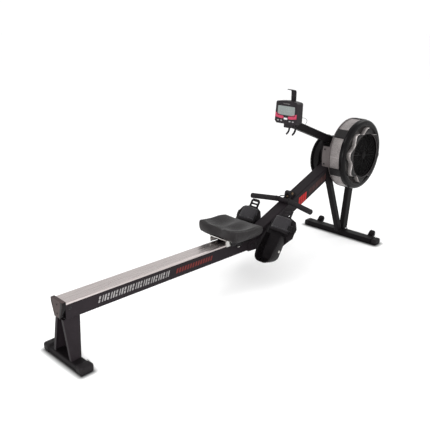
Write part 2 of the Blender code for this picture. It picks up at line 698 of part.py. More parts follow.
def make_rollers():
    height = ROLLER_RADIUS + GAP
    shank, r = ROLLER_AXLE_RADIUS, ROLLER_RADIUS
    for x, word in ((-ROLLER_X, "rear"), (ROLLER_X, "front")):
        upper = [(0, 0.0715), (0.0075, 0.0715), (0.0075, 0.0672), (shank, 0.0672)]
        axle = turned(upper + [(radius, -h) for radius, h in reversed(upper)], False, 16)
        place(axle, f"seat_axle_{word}", "zinc", (x, 0, height), (-math.pi / 2, 0, 0), SEAT)
        upper = [
            (shank + GAP, 0.040), (r - 0.001, 0.040), (r, 0.039), (r, 0.022), (r - 0.001, 0.021),
            (0.009, 0.021),
        ]
        roller = turned(upper + [(radius, -h) for radius, h in reversed(upper)], steps=20)
        place(roller, f"seat_roller_{word}", "soft_black", (x, 0, height), (-math.pi / 2, 0, 0), SEAT)


def make_guide_rollers():
    """One small roller a side, under the edge of the track, so the seat can't lift off."""
    bore, half = GUIDE_STUD_RADIUS + GAP, 0.006
    profile = ((bore, half), (GUIDE_RADIUS, half), (GUIDE_RADIUS, -half), (bore, -half))
    for side, word in ((1, "left"), (-1, "right")):
        roller_at = (0, side * 0.0530, GUIDE_Z)
        roller = turned(profile, steps=24)
        place(roller, f"guide_roller_{word}", "soft_black", roller_at, (-math.pi / 2, 0, 0), SEAT)


def seat_point(u, v):
    """A point of the seat's top, u from back to front and v from side to side, both -1 to 1."""
    reach = u * SEAT_LENGTH / 2 * (1 - 0.10 * v**4)
    notch = 0.018 * (1 - abs(v)) ** 2 * max(0, -u)
    x = reach + notch
    y = v * SEAT_WIDTH / 2 * (1 - (0.08 if u > 0 else 0.06) * u * u)
    hollow = 0.010 * max(0, math.cos(math.pi * (abs(v) - 0.45))) * (1 - u * u)
    raised = 0.014 * abs(v) ** 3 + 0.007 * max(0, -u) ** 2
    return (x, y, SEAT_THICKNESS - 0.013 + raised - hollow)


def make_seat_pad():
    """A contoured pad from a coarse cage: two hollows, raised sides and a notch at the tailbone."""
    along, across = 7, 9
    rows = []
    for i in range(along):
        u = i / (along - 1) * 2 - 1
        rows.append([seat_point(u, j / (across - 1) * 2 - 1) for j in range(across)])
    pad = loft(rows, "pad")
    bm = bmesh.new()
    bm.from_mesh(pad.data)
    grown = bmesh.ops.extrude_face_region(bm, geom=list(bm.faces))
    for vert in (v for v in grown["geom"] if isinstance(v, bmesh.types.BMVert)):
        vert.co = (vert.co.x * 0.95, vert.co.y * 0.95, 0)
    bmesh.ops.recalc_face_normals(bm, faces=bm.faces)
    bm.to_mesh(pad.data)
    bm.free()
    bevel(pad, 0.010, 2, 50)
    place(smooth(pad, 50), "seat_pad", "soft_black", (0, 0, SEAT_BASE), parent=SEAT)


# ---- footrests ----
def make_footrests():
    bar = rod(CROSS_BAR_RADIUS, 0.350)
    place(bar, "foot_cross_bar", "black_paint", (CROSS_BAR_AT, 0, CROSS_BAR_DROP), parent=FOOT)
    half, tab, inner_wing, outer_wing = BOARD_WIDTH / 2, 0.034, 0.084, 0.098
    for side, word in ((1, "left"), (-1, "right")):
        y = side * FOOT_CENTRE_Y
        edges = []
        for wing in (inner_wing, outer_wing):
            edges.append([
                (BOARD_START, half * 0.80), (0.120, half), (0.160, wing - 0.018), (0.182, wing),
                (0.250, wing), (0.284, wing - 0.020), (0.300, tab), (BOARD_END - 0.012, tab),
                (BOARD_END, tab - 0.012),
            ])
        outline = [(x, -side * across) for x, across in edges[0]]
        outline += [(x, side * across) for x, across in reversed(edges[1])]
        board = plate(outline, BOARD_SHEET)
        place(board, f"footboard_{word}", "black_plastic", (0, y, -BOARD_SHEET / 2), parent=FOOT)
        saddle = helper(box((0.040, 0.060, 0.014)), (CROSS_BAR_AT, y, -BOARD_SHEET - 0.006), parent=FOOT)
        groove = helper(rod(CROSS_BAR_RADIUS + GAP, 0.30), (CROSS_BAR_AT, y, CROSS_BAR_DROP), parent=FOOT)
        cut(join(board, saddle), groove)
        for slot in (0.309, 0.330):
            cut(board, helper(box((0.010, 0.044, 0.05)), (slot, y, 0), parent=FOOT))
        make_heel_cup(word, y)
        make_toe_strap(word, y)


def heel_path(depth, half, reach=0.172, heel_x=0.066, steps=14, square=0.62):
    """A squarish U round the heel: `depth` behind heel_x and `half` to each side."""
    path = [(reach, half)]
    for i in range(steps + 1):
        turn = math.pi * i / steps
        behind, across = math.sin(turn) ** square, abs(math.cos(turn)) ** square
        path.append((heel_x - depth * behind, math.copysign(half * across, math.cos(turn))))
    path.append((reach, -half))
    return path


def make_heel_cup(word, y):
    """A sliding cup: a sole plate with a deep wall that flares back round the heel, open towards the toes."""
    wall, heel_rim, toe_rim = 0.004, 0.070, 0.052
    levels = ((0.0, 0.046, 0.0600), (0.45, 0.066, 0.0620), (1.0, 0.077, 0.0600))
    paths = [heel_path(depth, half) for _, depth, half in levels]
    rows = []
    for points in zip(*paths):
        row = []
        for (px, py), (share, _, _) in zip(points, levels):
            fall = min(1, max(0, (px - 0.066) / (0.172 - 0.066)))
            rim = heel_rim + (toe_rim - heel_rim) * fall
            row.append((px, py, wall / 2 + (rim - wall / 2) * share))
        rows.append(row)
    cup = solidify(loft(rows, "cup"), wall, 0.0)
    place(cup, f"heel_cup_{word}", "soft_black", (0, y, GAP), parent=FOOT)
    sole = helper(plate(paths[0], wall), (0, y, GAP + wall / 2), parent=FOOT)
    join(cup, sole)


def make_toe_strap(word, y):
    """The padded strap over the toes, a bridge fixed to the board at both sides."""
    arch = ((-1.0, 0.0), (-0.98, 0.62), (-0.80, 1.0), (0.80, 1.0), (0.98, 0.62), (1.0, 0.0))
    rows = []
    for x, half, rise in ((0.188, 0.0670, 0.042), (0.292, 0.0540, 0.031)):
        rows.append([(x, half * across, rise * up) for across, up in arch])
    strap = solidify(loft(rows, "strap"), 0.008, 0.0)
    place(strap, f"toe_strap_{word}", "dark_fabric", (0, y, 0.0006), parent=FOOT)


# ---- display ----
def make_arm():
    section = rounded_rectangle(ARM_WIDTH, ARM_HEIGHT, 0.004)
    arm = open_tube(section, -0.022, ARM_LENGTH, 0.002)
    place(arm, "display_arm", "black_paint", parent=ARM)
    cut(arm, helper(rod(PIVOT_RADIUS + GAP, 0.2, 16), parent=ARM))
    shank, washer, head = PIVOT_RADIUS, 0.011, 0.0105
    upper = [
        (0, 0.0474), (head - 0.001, 0.0474), (head, 0.0449), (shank, 0.0449), (shank, 0.0400),
        (washer, 0.0400), (washer, ARM_WIDTH / 2 + 0.0004), (shank, ARM_WIDTH / 2 + 0.0004),
    ]
    bolt = turned(upper + [(r, -h) for r, h in reversed(upper)], False, 16)
    place(bolt, "arm_pivot_bolt", "zinc", (0, 0, 0), (-math.pi / 2, 0, 0), ARM)


def case_outline():
    """The case's front as (across, up) points: wider at the bottom, arched at the top."""
    half_low, half_high, arch, foot = 0.083, 0.0795, 0.006, 0.014
    right = [(half_low - foot, -0.004), (half_low, 0.010), (half_high, CASE_HEIGHT - 0.008)]
    top = []
    for i in range(7):
        share = i / 6
        top.append(((half_high - 0.006) * (1 - 2 * share), CASE_HEIGHT + arch * math.sin(math.pi * share)))
    return right + top + [(-y, z) for y, z in reversed(right)]


def make_case():
    case = bevel(plate(case_outline(), CASE_DEPTH), 0.007, 2, 45)
    place(case, "display_case", "black_plastic", (CASE_DEPTH / 2, 0, 0), (math.pi / 2, 0, math.pi / 2), CASE)
    pocket = helper(box((0.004, SCREEN_WIDTH + 0.001, SCREEN_HEIGHT + 0.001)), (0, 0, SCREEN_Z), parent=CASE)
    cut(case, pocket)

    # block under the case with the tilt lugs, and the two lower phone fingers
    block = helper(box((0.044, 0.050, 0.036)), (-0.037, 0, 0.003), parent=TILT)
    lugs = helper(box((0.044, 0.056, 0.032)), (-0.009, 0, 0), parent=TILT)
    join(case, block, lugs)
    finger = ((-0.009, 0.001), (-0.003, -0.019), (-0.005, -0.037), (-0.015, -0.051), (-0.032, -0.061))
    for side in (1, -1):
        bent = to_mesh(tube_curve([(x, 0, z) for x, z in finger], 0.0055, 2, "NURBS"))
        join(case, helper(bent, (0, side * 0.0225, 0), parent=TILT))
    cut(case, helper(box((0.030, ARM_WIDTH + 0.0012, 0.060)), (-0.001, 0, -0.004), parent=TILT))
    join(case, helper(rod(0.005, 0.016, 12, "X"), (-0.014, -0.012, 0.036), parent=TILT))  # cable gland

    # guide behind the case that the phone hook's strip slides in
    back = helper(box((0.0168, 0.044, 0.040)), (-0.0146, 0, 0.111), parent=TILT)
    join(case, back)
    for side in (1, -1):
        join(case, helper(box((0.010, 0.003, 0.040)), (-0.003, side * 0.0205, 0.111), parent=TILT))
    return case


def make_display():
    case = make_case()
    screen = bevel(box((0.0022, SCREEN_WIDTH, SCREEN_HEIGHT)), 0.0006, 1)
    place(screen, "display_screen", "screen", (0.0006, 0, SCREEN_Z), parent=CASE)
    keys = [("key_centre", 0.0, 0.0275, 0.026, 0.011)]
    for i, y in enumerate((0.056, 0.032, -0.032, -0.056)):
        keys.append((f"key_{i + 1}", y, 0.0140, 0.013, 0.007))
    for name, y, z, width, tall in keys:
        cut(case, helper(box((0.012, width + 0.0006, tall + 0.0006)), (0, y, z), parent=CASE))
        place(bevel(box((0.006, width, tall)), 0.001, 1), name, "white_key", (0.0005, y, z), parent=CASE)


def make_phone_hook():
    """A flat strip in a guide behind the case, with a lip that hooks over a phone."""
    half_width, sheet = 0.018, 0.004
    profile = ((0, 0), (0, 0.109), (-0.0045, 0.118), (-0.0205, 0.122), (-0.0405, 0.1265))
    hook = loft([[(x, y, z) for y in (-half_width, half_width)] for x, z in profile], "hook")
    place(solidify(hook, sheet, 0.0), "phone_hook", "black_plastic", (-0.0035, 0, 0.086), parent=TILT)


def make_cable():
    """The lead that loops from the back of the display down into the arm's top."""
    route = (
        (0.4780, 0.012, 0.0316), (0.4610, 0.012, 0.0385), (0.4400, 0.012, 0.0455), (0.3984, 0.010, 0.0565),
        (0.3602, 0.006, 0.0625), (0.3313, 0.002, 0.0575), (0.3240, 0, 0.0449), (0.3332, 0, 0.0330),
        (0.3336, 0, ARM_HEIGHT / 2 + GAP),
    )  # along the arm, across and above it
    place(tube_curve(route, 0.0020, 2, "NURBS"), "display_cable", "soft_black", parent=ARM)


make_rail()
make_end_cap()
make_rear_stand()
make_beam()
make_knee()
make_column()
make_column_cover()
make_front_stand()
make_fan_covers()
make_guard()
make_trim_ring()
make_flywheel()
make_axle()
make_sprocket()
make_chain_cover()
make_chain()
make_chain_guide()
make_handle()
make_carriage()
make_rollers()
make_guide_rollers()
make_seat_pad()
make_footrests()
make_arm()
make_display()
make_phone_hook()
make_cable()
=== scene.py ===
"""Looks of an indoor air rower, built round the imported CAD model.

Metres, +Z up, in the CAD's own frame. A station is a distance from the rear edge of the rear foot, and the
frames below are the ones that the CAD pieces were placed in, so a piece goes where its neighbours are.
"""

import math

import bmesh
import bpy
from mathutils import Matrix, Vector


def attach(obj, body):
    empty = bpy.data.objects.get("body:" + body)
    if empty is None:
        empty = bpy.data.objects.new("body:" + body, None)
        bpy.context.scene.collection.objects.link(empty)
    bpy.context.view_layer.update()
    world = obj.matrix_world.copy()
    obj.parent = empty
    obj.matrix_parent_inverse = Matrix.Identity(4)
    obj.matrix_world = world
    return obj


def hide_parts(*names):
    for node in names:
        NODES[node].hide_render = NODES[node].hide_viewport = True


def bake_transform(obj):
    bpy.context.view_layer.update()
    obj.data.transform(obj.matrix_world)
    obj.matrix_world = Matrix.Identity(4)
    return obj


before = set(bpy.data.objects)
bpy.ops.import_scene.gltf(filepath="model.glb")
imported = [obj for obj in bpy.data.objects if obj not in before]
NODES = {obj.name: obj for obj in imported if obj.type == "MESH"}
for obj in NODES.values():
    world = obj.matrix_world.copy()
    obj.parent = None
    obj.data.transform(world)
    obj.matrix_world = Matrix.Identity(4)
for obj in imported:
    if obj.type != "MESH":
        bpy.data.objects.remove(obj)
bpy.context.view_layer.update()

# ---- frames of the CAD model ----
HALF = 1.25  # station of the origin


def station(x, z, lean=0.0):
    """A frame at a station and height, its X axis leaning down by `lean` degrees."""
    return Matrix.Translation((x - HALF, 0, z)) @ Matrix.Rotation(math.radians(lean), 4, "Y")


def at(x, y, z):
    return Matrix.Translation((x, y, z))


def turn(degrees, axis):
    return Matrix.Rotation(math.radians(degrees), 4, axis)


RAIL = station(0, 0.3285, 1.5)
SEAT = RAIL @ at(1.157, 0, 0)
BEAM = station(1.349, 0.2925, -21.3)
FOOT = station(1.3404, 0.1295, -57)
FAN = station(2.266, 0.635) @ turn(90, "X")
HANDLE = station(1.640, 0.424)
ARM = station(2.132, 0.730) @ turn(180, "Z") @ turn(-21.5, "Y")
TILT = station(1.703, 0.899)
CASE = station(1.626, 0.914, 3.7)
SIDES = ((1, "left"), (-1, "right"))
REAR_FOOT, FRONT_FOOT = 0.037, 2.341  # stations of the two foot bars


# ---- materials ----
class Graph:
    """A material and short ways to add nodes to it."""

    def __init__(self, name):
        self.material = bpy.data.materials.new(name)
        self.material.use_nodes = True
        self.tree = self.material.node_tree
        self.shader = self.tree.nodes["Principled BSDF"]
        self.place = self.add("ShaderNodeTexCoord").outputs["Object"]

    def add(self, kind, inputs=None, **settings):
        node = self.tree.nodes.new(kind)
        for key, value in settings.items():
            setattr(node, key, value)
        for socket, value in (inputs or {}).items():
            self.put(node.inputs[socket], value)
        return node

    def put(self, socket, value):
        if isinstance(value, bpy.types.NodeSocket):
            self.tree.links.new(value, socket)
        else:
            socket.default_value = value

    def noise(self, scale, stretch=(1, 1, 1), detail=4.0, where=None):
        mapped = self.add("ShaderNodeMapping", {"Vector": where or self.place, "Scale": stretch})
        found = self.add("ShaderNodeTexNoise", {"Vector": mapped.outputs[0], "Scale": scale, "Detail": detail})
        return found.outputs["Fac"]

    def mix(self, factor, first, second):
        """Blends two colours by a factor."""
        node = self.add("ShaderNodeMix", data_type="RGBA")
        for index, value in ((0, factor), (6, first), (7, second)):
            self.put(node.inputs[index], value)
        return node.outputs[2]

    def spread(self, value, low, high, start=0.0, end=1.0):
        names = ("From Min", "From Max", "To Min", "To Max")
        node = self.add("ShaderNodeMapRange", {"Value": value, **dict(zip(names, (start, end, low, high)))})
        return node.outputs["Result"]

    def maths(self, operation, first, second=0.0):
        node = self.add("ShaderNodeMath", {0: first, 1: second}, operation=operation)
        return node.outputs[0]


def shade(colour, factor):
    return (*(min(1.0, c * factor) for c in colour), 1)


def surface(name, colour, rough, metal=0.0, grain=None, mottle=0.12, cloud=16, stretch=(1, 1, 1), edge=0.0008,
            worn=None, spread=0.06, **sockets):
    """A finish with clouded colour and roughness, a fine grain, softened edges and, where worn, lighter ones.

    grain is (kind, scale, depth in metres): kind is noise, cells or weave.
    """
    g = Graph(name)
    clouds = g.noise(cloud, stretch)
    tint = g.mix(g.spread(clouds, 0, 1, 0.3, 0.7), shade(colour, 1 - mottle), shade(colour, 1 + mottle))
    normal = g.add("ShaderNodeBevel", {"Radius": edge}, samples=4).outputs[0]
    if worn:
        flat = g.add("ShaderNodeNewGeometry").outputs["Normal"]
        turned = g.add("ShaderNodeVectorMath", {0: normal, 1: flat}, operation="DOT_PRODUCT").outputs["Value"]
        rub = g.maths("MULTIPLY", g.spread(turned, 1, 0, 0.80, 0.995), g.spread(g.noise(60), 0, 0.7, 0.4, 0.65))
        tint = g.mix(rub, tint, (*worn, 1))
    if grain:
        kind, scale, depth = grain
        if kind == "noise":
            height = g.noise(scale, stretch, 2.0)
        elif kind == "cells":
            cells = g.add("ShaderNodeTexVoronoi", {"Vector": g.place, "Scale": scale}, feature="DISTANCE_TO_EDGE")
            height = g.spread(cells.outputs[0], 0, 1, 0, 0.25)
        else:
            waves = []
            for direction in ("X", "Y"):
                wave = g.add("ShaderNodeTexWave", {"Vector": g.place, "Scale": scale}, bands_direction=direction)
                waves.append(wave.outputs["Fac"])
            height = g.maths("MULTIPLY", *waves)
            # darker where the weave is low: partly the pattern of the threads, partly painted shade in the hollows
            # between them
            tint = g.mix(g.spread(height, 0.35, 0), tint, shade(colour, 0.35))
        bump = g.add("ShaderNodeBump", {"Height": height, "Distance": depth, "Normal": normal, "Strength": 0.6})
        normal = bump.outputs[0]
    g.put(g.shader.inputs["Base Color"], tint)
    g.put(g.shader.inputs["Roughness"], g.spread(clouds, rough - spread, rough + spread, 0.3, 0.7))
    g.put(g.shader.inputs["Normal"], normal)
    g.shader.inputs["Metallic"].default_value = metal
    for socket, value in sockets.items():
        g.shader.inputs[socket.replace("_", " ")].default_value = value
    return g.material


BRUSHED = (1.2, 110, 110)  # noise stretched along the rail
PAINT = surface("powder_coat", (0.0124, 0.0097, 0.0114), 0.42, grain=("noise", 700, 0.00025),
                worn=(0.034, 0.030, 0.033), Specular_IOR_Level=0.07)
# the same powder coat made darker, for the foot bars, column, support legs and display arm: painted shade
SHADED_PAINT = surface("shaded_powder_coat", (0.0060, 0.0051, 0.0057), 0.42, grain=("noise", 700, 0.00025),
                     worn=(0.024, 0.021, 0.023), Specular_IOR_Level=0.05)
PLASTIC = surface("moulded_plastic", (0.0090, 0.0076, 0.0084), 0.50, grain=("noise", 1500, 0.0003),
                  worn=(0.022, 0.019, 0.021), Specular_IOR_Level=0.10)
GLOSSY = surface("satin_plastic", (0.0060, 0.0051, 0.0057), 0.28, grain=("noise", 900, 0.00006), mottle=0.08,
                 Specular_IOR_Level=0.13)
RUBBER = surface("rubber", (0.0085, 0.0072, 0.0080), 0.66, grain=("noise", 1100, 0.0004), mottle=0.18,
                 Specular_IOR_Level=0.10)
GRIP = surface("grip_rubber", (0.0145, 0.0130, 0.0142), 0.62, grain=("noise", 1100, 0.0004), mottle=0.15,
               Specular_IOR_Level=0.10)
CLIP = surface("textured_clip", (0.0095, 0.0085, 0.0090), 0.50, grain=("cells", 420, 0.0005), mottle=0.2,
               Specular_IOR_Level=0.20)
GREY_CAP = surface("grey_moulding", (0.033, 0.0215, 0.0205), 0.46, grain=("noise", 1500, 0.0003), mottle=0.2, cloud=9,
                   Specular_IOR_Level=0.18)
VINYL = surface("vinyl", (0.0132, 0.0116, 0.0120), 0.44, grain=("cells", 620, 0.00022), mottle=0.14, cloud=9,
                edge=0.001, Specular_IOR_Level=0.16, Sheen_Weight=0.03, Sheen_Roughness=0.5)
FABRIC = surface("woven_fabric", (0.027, 0.0250, 0.0280), 0.80, grain=("weave", 260, 0.0005), Sheen_Weight=0.08,
                 Specular_IOR_Level=0.20)
WEBBING = surface("webbing", (0.007, 0.0062, 0.0068), 0.78, grain=("weave", 180, 0.0006), Sheen_Weight=0.03,
                  Specular_IOR_Level=0.12)
TRACK = surface("brushed_track", (0.46, 0.415, 0.405), 0.30, 1.0, ("noise", 5, 0.00002), 0.09, 3, BRUSHED,
                spread=0.07, Anisotropic=0.5)
BAND = surface("perforated_steel", (0.36, 0.330, 0.325), 0.42, 0.85, ("noise", 900, 0.0001), 0.14, 22)
TRIM = surface("satin_trim", (0.50, 0.465, 0.455), 0.36, 0.75, ("noise", 900, 0.0001), 0.12, 30)
ZINC = surface("zinc_plate", (0.56, 0.55, 0.53), 0.34, 1.0, ("noise", 1200, 0.0001), 0.10, 60)
GREY = surface("grey_paint", (0.090, 0.077, 0.077), 0.42, 0.2, ("noise", 700, 0.0002), 0.12, worn=(0.15, 0.14, 0.14),
               Specular_IOR_Level=0.25)
SHELL = surface("glossy_shell", (0.0034, 0.0029, 0.0033), 0.22, grain=("noise", 900, 0.00005), mottle=0.08,
                Specular_IOR_Level=0.10)
DARK_METAL = surface("dark_metal", (0.0034, 0.0030, 0.0032), 0.55, 0.0, ("noise", 700, 0.0002), 0.15,
                     Specular_IOR_Level=0.05)
WIRE = surface("guard_wire", (0.008, 0.0075, 0.0078), 0.40, grain=None, mottle=0.1, Specular_IOR_Level=0.15)
SCREW = surface("dark_screw", (0.022, 0.021, 0.022), 0.35, 0.8, None, 0.1)
CASE_GREY = surface("case_plastic", (0.0165, 0.0140, 0.0162), 0.45, grain=("noise", 1600, 0.0003), mottle=0.08,
                    Specular_IOR_Level=0.12)
KEY = surface("key_cap", (0.62, 0.60, 0.62), 0.40, grain=("noise", 1500, 0.0001), mottle=0.05)
SMALL_KEY = surface("small_key_cap", (0.26, 0.25, 0.26), 0.42, grain=("noise", 1500, 0.0001), mottle=0.08)
LCD = surface("display_glass", (0.185, 0.208, 0.202), 0.18, mottle=0.05, cloud=30, Coat_Weight=0.3,
              Coat_Roughness=0.05, Specular_IOR_Level=0.3)
CABLE = surface("grey_lead", (0.30, 0.30, 0.31), 0.5, grain=("noise", 900, 0.0002))
BRASS = surface("brass", (0.11, 0.075, 0.045), 0.38, 1.0, None, 0.15, 60)
PINK = surface("pink_print", (0.39, 0.040, 0.082), 0.45, mottle=0.10, cloud=40, Specular_IOR_Level=0.2)
RED = surface("red_print", (0.40, 0.008, 0.008), 0.42, mottle=0.12, cloud=40, Specular_IOR_Level=0.15)
DARK_RED = surface("dark_red_print", (0.105, 0.012, 0.010), 0.45, mottle=0.18, cloud=60, Specular_IOR_Level=0.15)
BROWN_RED = surface("brown_red_print", (0.055, 0.017, 0.014), 0.45, mottle=0.2, cloud=60, Specular_IOR_Level=0.15)
SILVER_INK = surface("silver_print", (0.24, 0.23, 0.23), 0.45, 0.3, None, 0.2, 40)


# ---- mesh tools ----
def finish_piece(obj, name, material, body, slot, degrees=40, bevel=0.0, subdivide=0):
    """Names a piece, shades it, and lets it ride on its body. It is already in place."""
    obj.name = obj.data.name = name
    obj.data.materials.clear()
    obj.data.materials.append(material)
    for face in obj.data.polygons:
        face.use_smooth = True
    if degrees < 180:
        obj.data.set_sharp_from_angle(angle=math.radians(degrees))
    if bevel:
        rounded = obj.modifiers.new("bevel", "BEVEL")
        rounded.width, rounded.segments = bevel, 2
        rounded.limit_method, rounded.angle_limit = "ANGLE", math.radians(35)
    if subdivide:
        obj.modifiers.new("subdivision", "SUBSURF").levels = subdivide
        obj.modifiers["subdivision"].render_levels = subdivide
    if body:
        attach(obj, body)
    return obj


def made(bm, name, material, body, slot, matrix=Matrix(), replaces=(), **looks):
    """A bmesh turned into a finished piece, in the given frame."""
    mesh = bpy.data.meshes.new(name)
    bmesh.ops.recalc_face_normals(bm, faces=bm.faces)
    bm.to_mesh(mesh)
    bm.free()
    mesh.transform(matrix)
    obj = bpy.data.objects.new(name, mesh)
    bpy.context.scene.collection.objects.link(obj)
    finish_piece(obj, name, material, body, slot, **looks)
    if replaces:
        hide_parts(*replaces)
    return obj


def add_ring_faces(bm, rings, closed_along=False, caps=True):
    """Joins rings of vertices into a skin."""
    count = len(rings[0])
    pairs = list(zip(rings, rings[1:]))
    if closed_along:
        pairs.append((rings[-1], rings[0]))
    for first, second in pairs:
        for i in range(count):
            j = (i + 1) % count
            bm.faces.new((first[i], first[j], second[j], second[i]))
    if caps and not closed_along:
        bm.faces.new(rings[0])
        bm.faces.new(list(reversed(rings[-1])))


def add_grid_faces(bm, rows):
    """Joins rows of vertices into an open sheet."""
    for first, second in zip(rows, rows[1:]):
        for k in range(len(first) - 1):
            bm.faces.new((first[k], first[k + 1], second[k + 1], second[k]))


def grid_rim(rows, columns):
    """The (row, column) of each vertex once round the edge of a grid."""
    return ([(i, 0) for i in range(rows)] + [(rows, j) for j in range(columns)]
            + [(i, columns) for i in range(rows, 0, -1)] + [(0, j) for j in range(columns, 0, -1)])


def add_lathe(bm, profile, steps=64, matrix=Matrix()):
    """Turns a closed (radius, height) outline about Z. A radius of 0 makes a pole."""
    rings = []
    for i in range(steps):
        turned = matrix @ turn(360 * i / steps, "Z")
        rings.append([bm.verts.new(turned @ Vector((max(r, 1e-5), 0, h))) for r, h in profile])
    add_ring_faces(bm, rings, closed_along=True)
    bmesh.ops.remove_doubles(bm, verts=[v for ring in rings for v in ring], dist=5e-5)


def add_tube(bm, points, radius, sides=10, matrix=Matrix(), closed=False, flat=1.0):
    """A round or flattened tube along points; radius may be a list with one for each point."""
    points = [Vector(p) for p in points]
    radii = radius if isinstance(radius, (list, tuple)) else [radius] * len(points)
    count = len(points)
    normal = Vector((0.123, 0.456, 0.882))
    rings = []
    for i, point in enumerate(points):
        before = points[(i - 1) % count] if closed or i else point
        after = points[(i + 1) % count] if closed or i < count - 1 else point
        along = (after - before).normalized()
        normal = (normal - along * normal.dot(along)).normalized()
        across = along.cross(normal)
        ring = []
        for k in range(sides):
            angle = 2 * math.pi * k / sides
            offset = normal * math.cos(angle) * flat + across * math.sin(angle)
            ring.append(bm.verts.new(matrix @ (point + offset * radii[i])))
        rings.append(ring)
    add_ring_faces(bm, rings, closed_along=closed)


def add_strip(bm, points, width, thick, matrix=Matrix(), side=Vector((0, 1, 0))):
    """A flat strap along points, `width` across `side`."""
    points = [Vector(p) for p in points]
    rings = []
    for i, point in enumerate(points):
        along = (points[min(i + 1, len(points) - 1)] - points[max(i - 1, 0)]).normalized()
        up = along.cross(side).normalized()
        ring = []
        for a, b in ((-1, -1), (1, -1), (1, 1), (-1, 1)):
            ring.append(bm.verts.new(matrix @ (point + side * a * width / 2 + up * b * thick / 2)))
        rings.append(ring)
    add_ring_faces(bm, rings)


def add_prism(bm, outline, low, high, matrix=Matrix()):
    """An (x, y) outline as a plate from one height to another."""
    rings = [[bm.verts.new(matrix @ Vector((x, y, h))) for x, y in outline] for h in (low, high)]
    add_ring_faces(bm, rings)


def add_box(bm, size, matrix=Matrix()):
    bmesh.ops.create_cube(bm, size=1, matrix=matrix @ Matrix.Diagonal((*size, 1)))


def add_bolt(bm, matrix, radius=0.0065, height=0.004, washer=True):
    """A domed hexagon-socket head on a washer, its axis along Z."""
    floor = 0.0
    if washer:
        add_lathe(bm, ((0, 0), (radius * 1.45, 0), (radius * 1.45, 0.0010), (0, 0.0010)), 20, matrix)
        floor = 0.0008
    top = floor + height
    hole = radius * 0.45
    add_lathe(bm, (
        (0, floor), (radius, floor), (radius, top - height * 0.55), (radius * 0.86, top - height * 0.15),
        (radius * 0.6, top), (hole, top), (hole, top - height * 0.6), (0, top - height * 0.6),
    ), 24, matrix)


def arc(radius, start, end, steps, height=0.0):
    """Points on a circle, in degrees, with `height` along its axis."""
    found = []
    for i in range(steps + 1):
        angle = math.radians(start + (end - start) * i / steps)
        found.append((radius * math.cos(angle), radius * math.sin(angle), height))
    return found


def squared(half_x, half_y, power, steps):
    """Points round a box with soft corners, squarer as the power goes down from 1."""
    found = []
    for k in range(steps):
        angle = 2 * math.pi * k / steps
        c, s = math.cos(angle), math.sin(angle)
        found.append((half_x * math.copysign(abs(c) ** power, c), half_y * math.copysign(abs(s) ** power, s)))
    return found


def smoothed(points, steps=6):
    """A Catmull-Rom curve through points."""
    points = [Vector(p) for p in points]
    padded = [2 * points[0] - points[1], *points, 2 * points[-1] - points[-2]]
    found = []
    for i in range(1, len(padded) - 2):
        a, b, c, d = padded[i - 1:i + 3]
        for k in range(steps):
            t = k / steps
            found.append(0.5 * (2 * b + (c - a) * t + (2 * a - 5 * b + 4 * c - d) * t * t
                                + (3 * b - a - 3 * c + d) * t ** 3))
    return [*found, points[-1]]


# ---- CAD pieces that stay, with their finishes ----
KEPT = {
    PAINT: "monorail rear_leg main_beam knee_bracket handle_bar",
    # the pieces on the next line have the same powder coat, made darker as painted shade
    SHADED_PAINT: "rear_foot_bar column rear_support_leg front_support_leg front_foot_bar foot_cross_bar display_arm",
    PLASTIC: "rear_foot_cap_left rear_foot_cap_right front_foot_cap_left front_foot_cap_right chain_guide"
    " footboard_left footboard_right",
    SHELL: "chain_cover",
    GREY_CAP: "rail_end_cap",
    RUBBER: "seat_roller_front seat_roller_rear guide_roller_left guide_roller_right",
    CABLE: "display_cable",
    TRACK: "rail_track",
    ZINC: "seat_carriage seat_axle_front seat_axle_rear drive_sprocket drive_chain arm_pivot_bolt",
    SCREW: "flywheel_axle axle_bearing_left axle_bearing_right",
    GREY: "column_cover",
    DARK_METAL: "flywheel fan_cover_far",
    CASE_GREY: "display_case phone_hook",
    LCD: "display_screen",
    KEY: "key_centre",
    SMALL_KEY: "key_1 key_2 key_3 key_4",
}
for material, names in KEPT.items():
    for name in names.split():
        mesh = NODES[name].data
        mesh.materials.clear()
        mesh.materials.append(material)
        for face in mesh.polygons:
            face.use_smooth = True
        mesh.set_sharp_from_angle(angle=math.radians(32))


# ---- seat ----
SEAT_LENGTH, SEAT_WIDTH, SEAT_BASE, SEAT_TOP = 0.258, 0.328, 0.039, 0.104
TRAY = 0.0025  # moulded tray under the pad


def seat_edge(u, v, shrink=1.0, cut=1.0):
    """A point of the seat's plan, u from back to front and v from side to side, both -1 to 1.

    cut is how much of the notch at the tailbone there is at this level.
    """
    reach = u * SEAT_LENGTH / 2 * (1 - 0.10 * v ** 4)
    notch = 0.027 * cut * math.exp(-(v / 0.30) ** 2) * max(0, -u) ** 2
    y = v * SEAT_WIDTH / 2 * (1 - (0.08 if u > 0 else 0.06) * u * u)
    return (reach + notch) * shrink, y * shrink


def seat_height(u, v):
    """Top of the seat: two hollows, a raised rim at the back and sides, and a channel at the tailbone."""
    hollow = 0.018 * math.exp(-((abs(v) - 0.42) / 0.34) ** 2 - ((u + 0.12) / 0.62) ** 2)
    side = 0.013 * abs(v) ** 3
    back = 0.012 * max(0, -u) ** 2
    front = -0.008 * max(0, u) ** 3
    tail = -0.020 * math.exp(-(v / 0.24) ** 2) * max(0, -u) ** 1.5
    return SEAT_TOP - 0.015 + side + back + front + tail - hollow


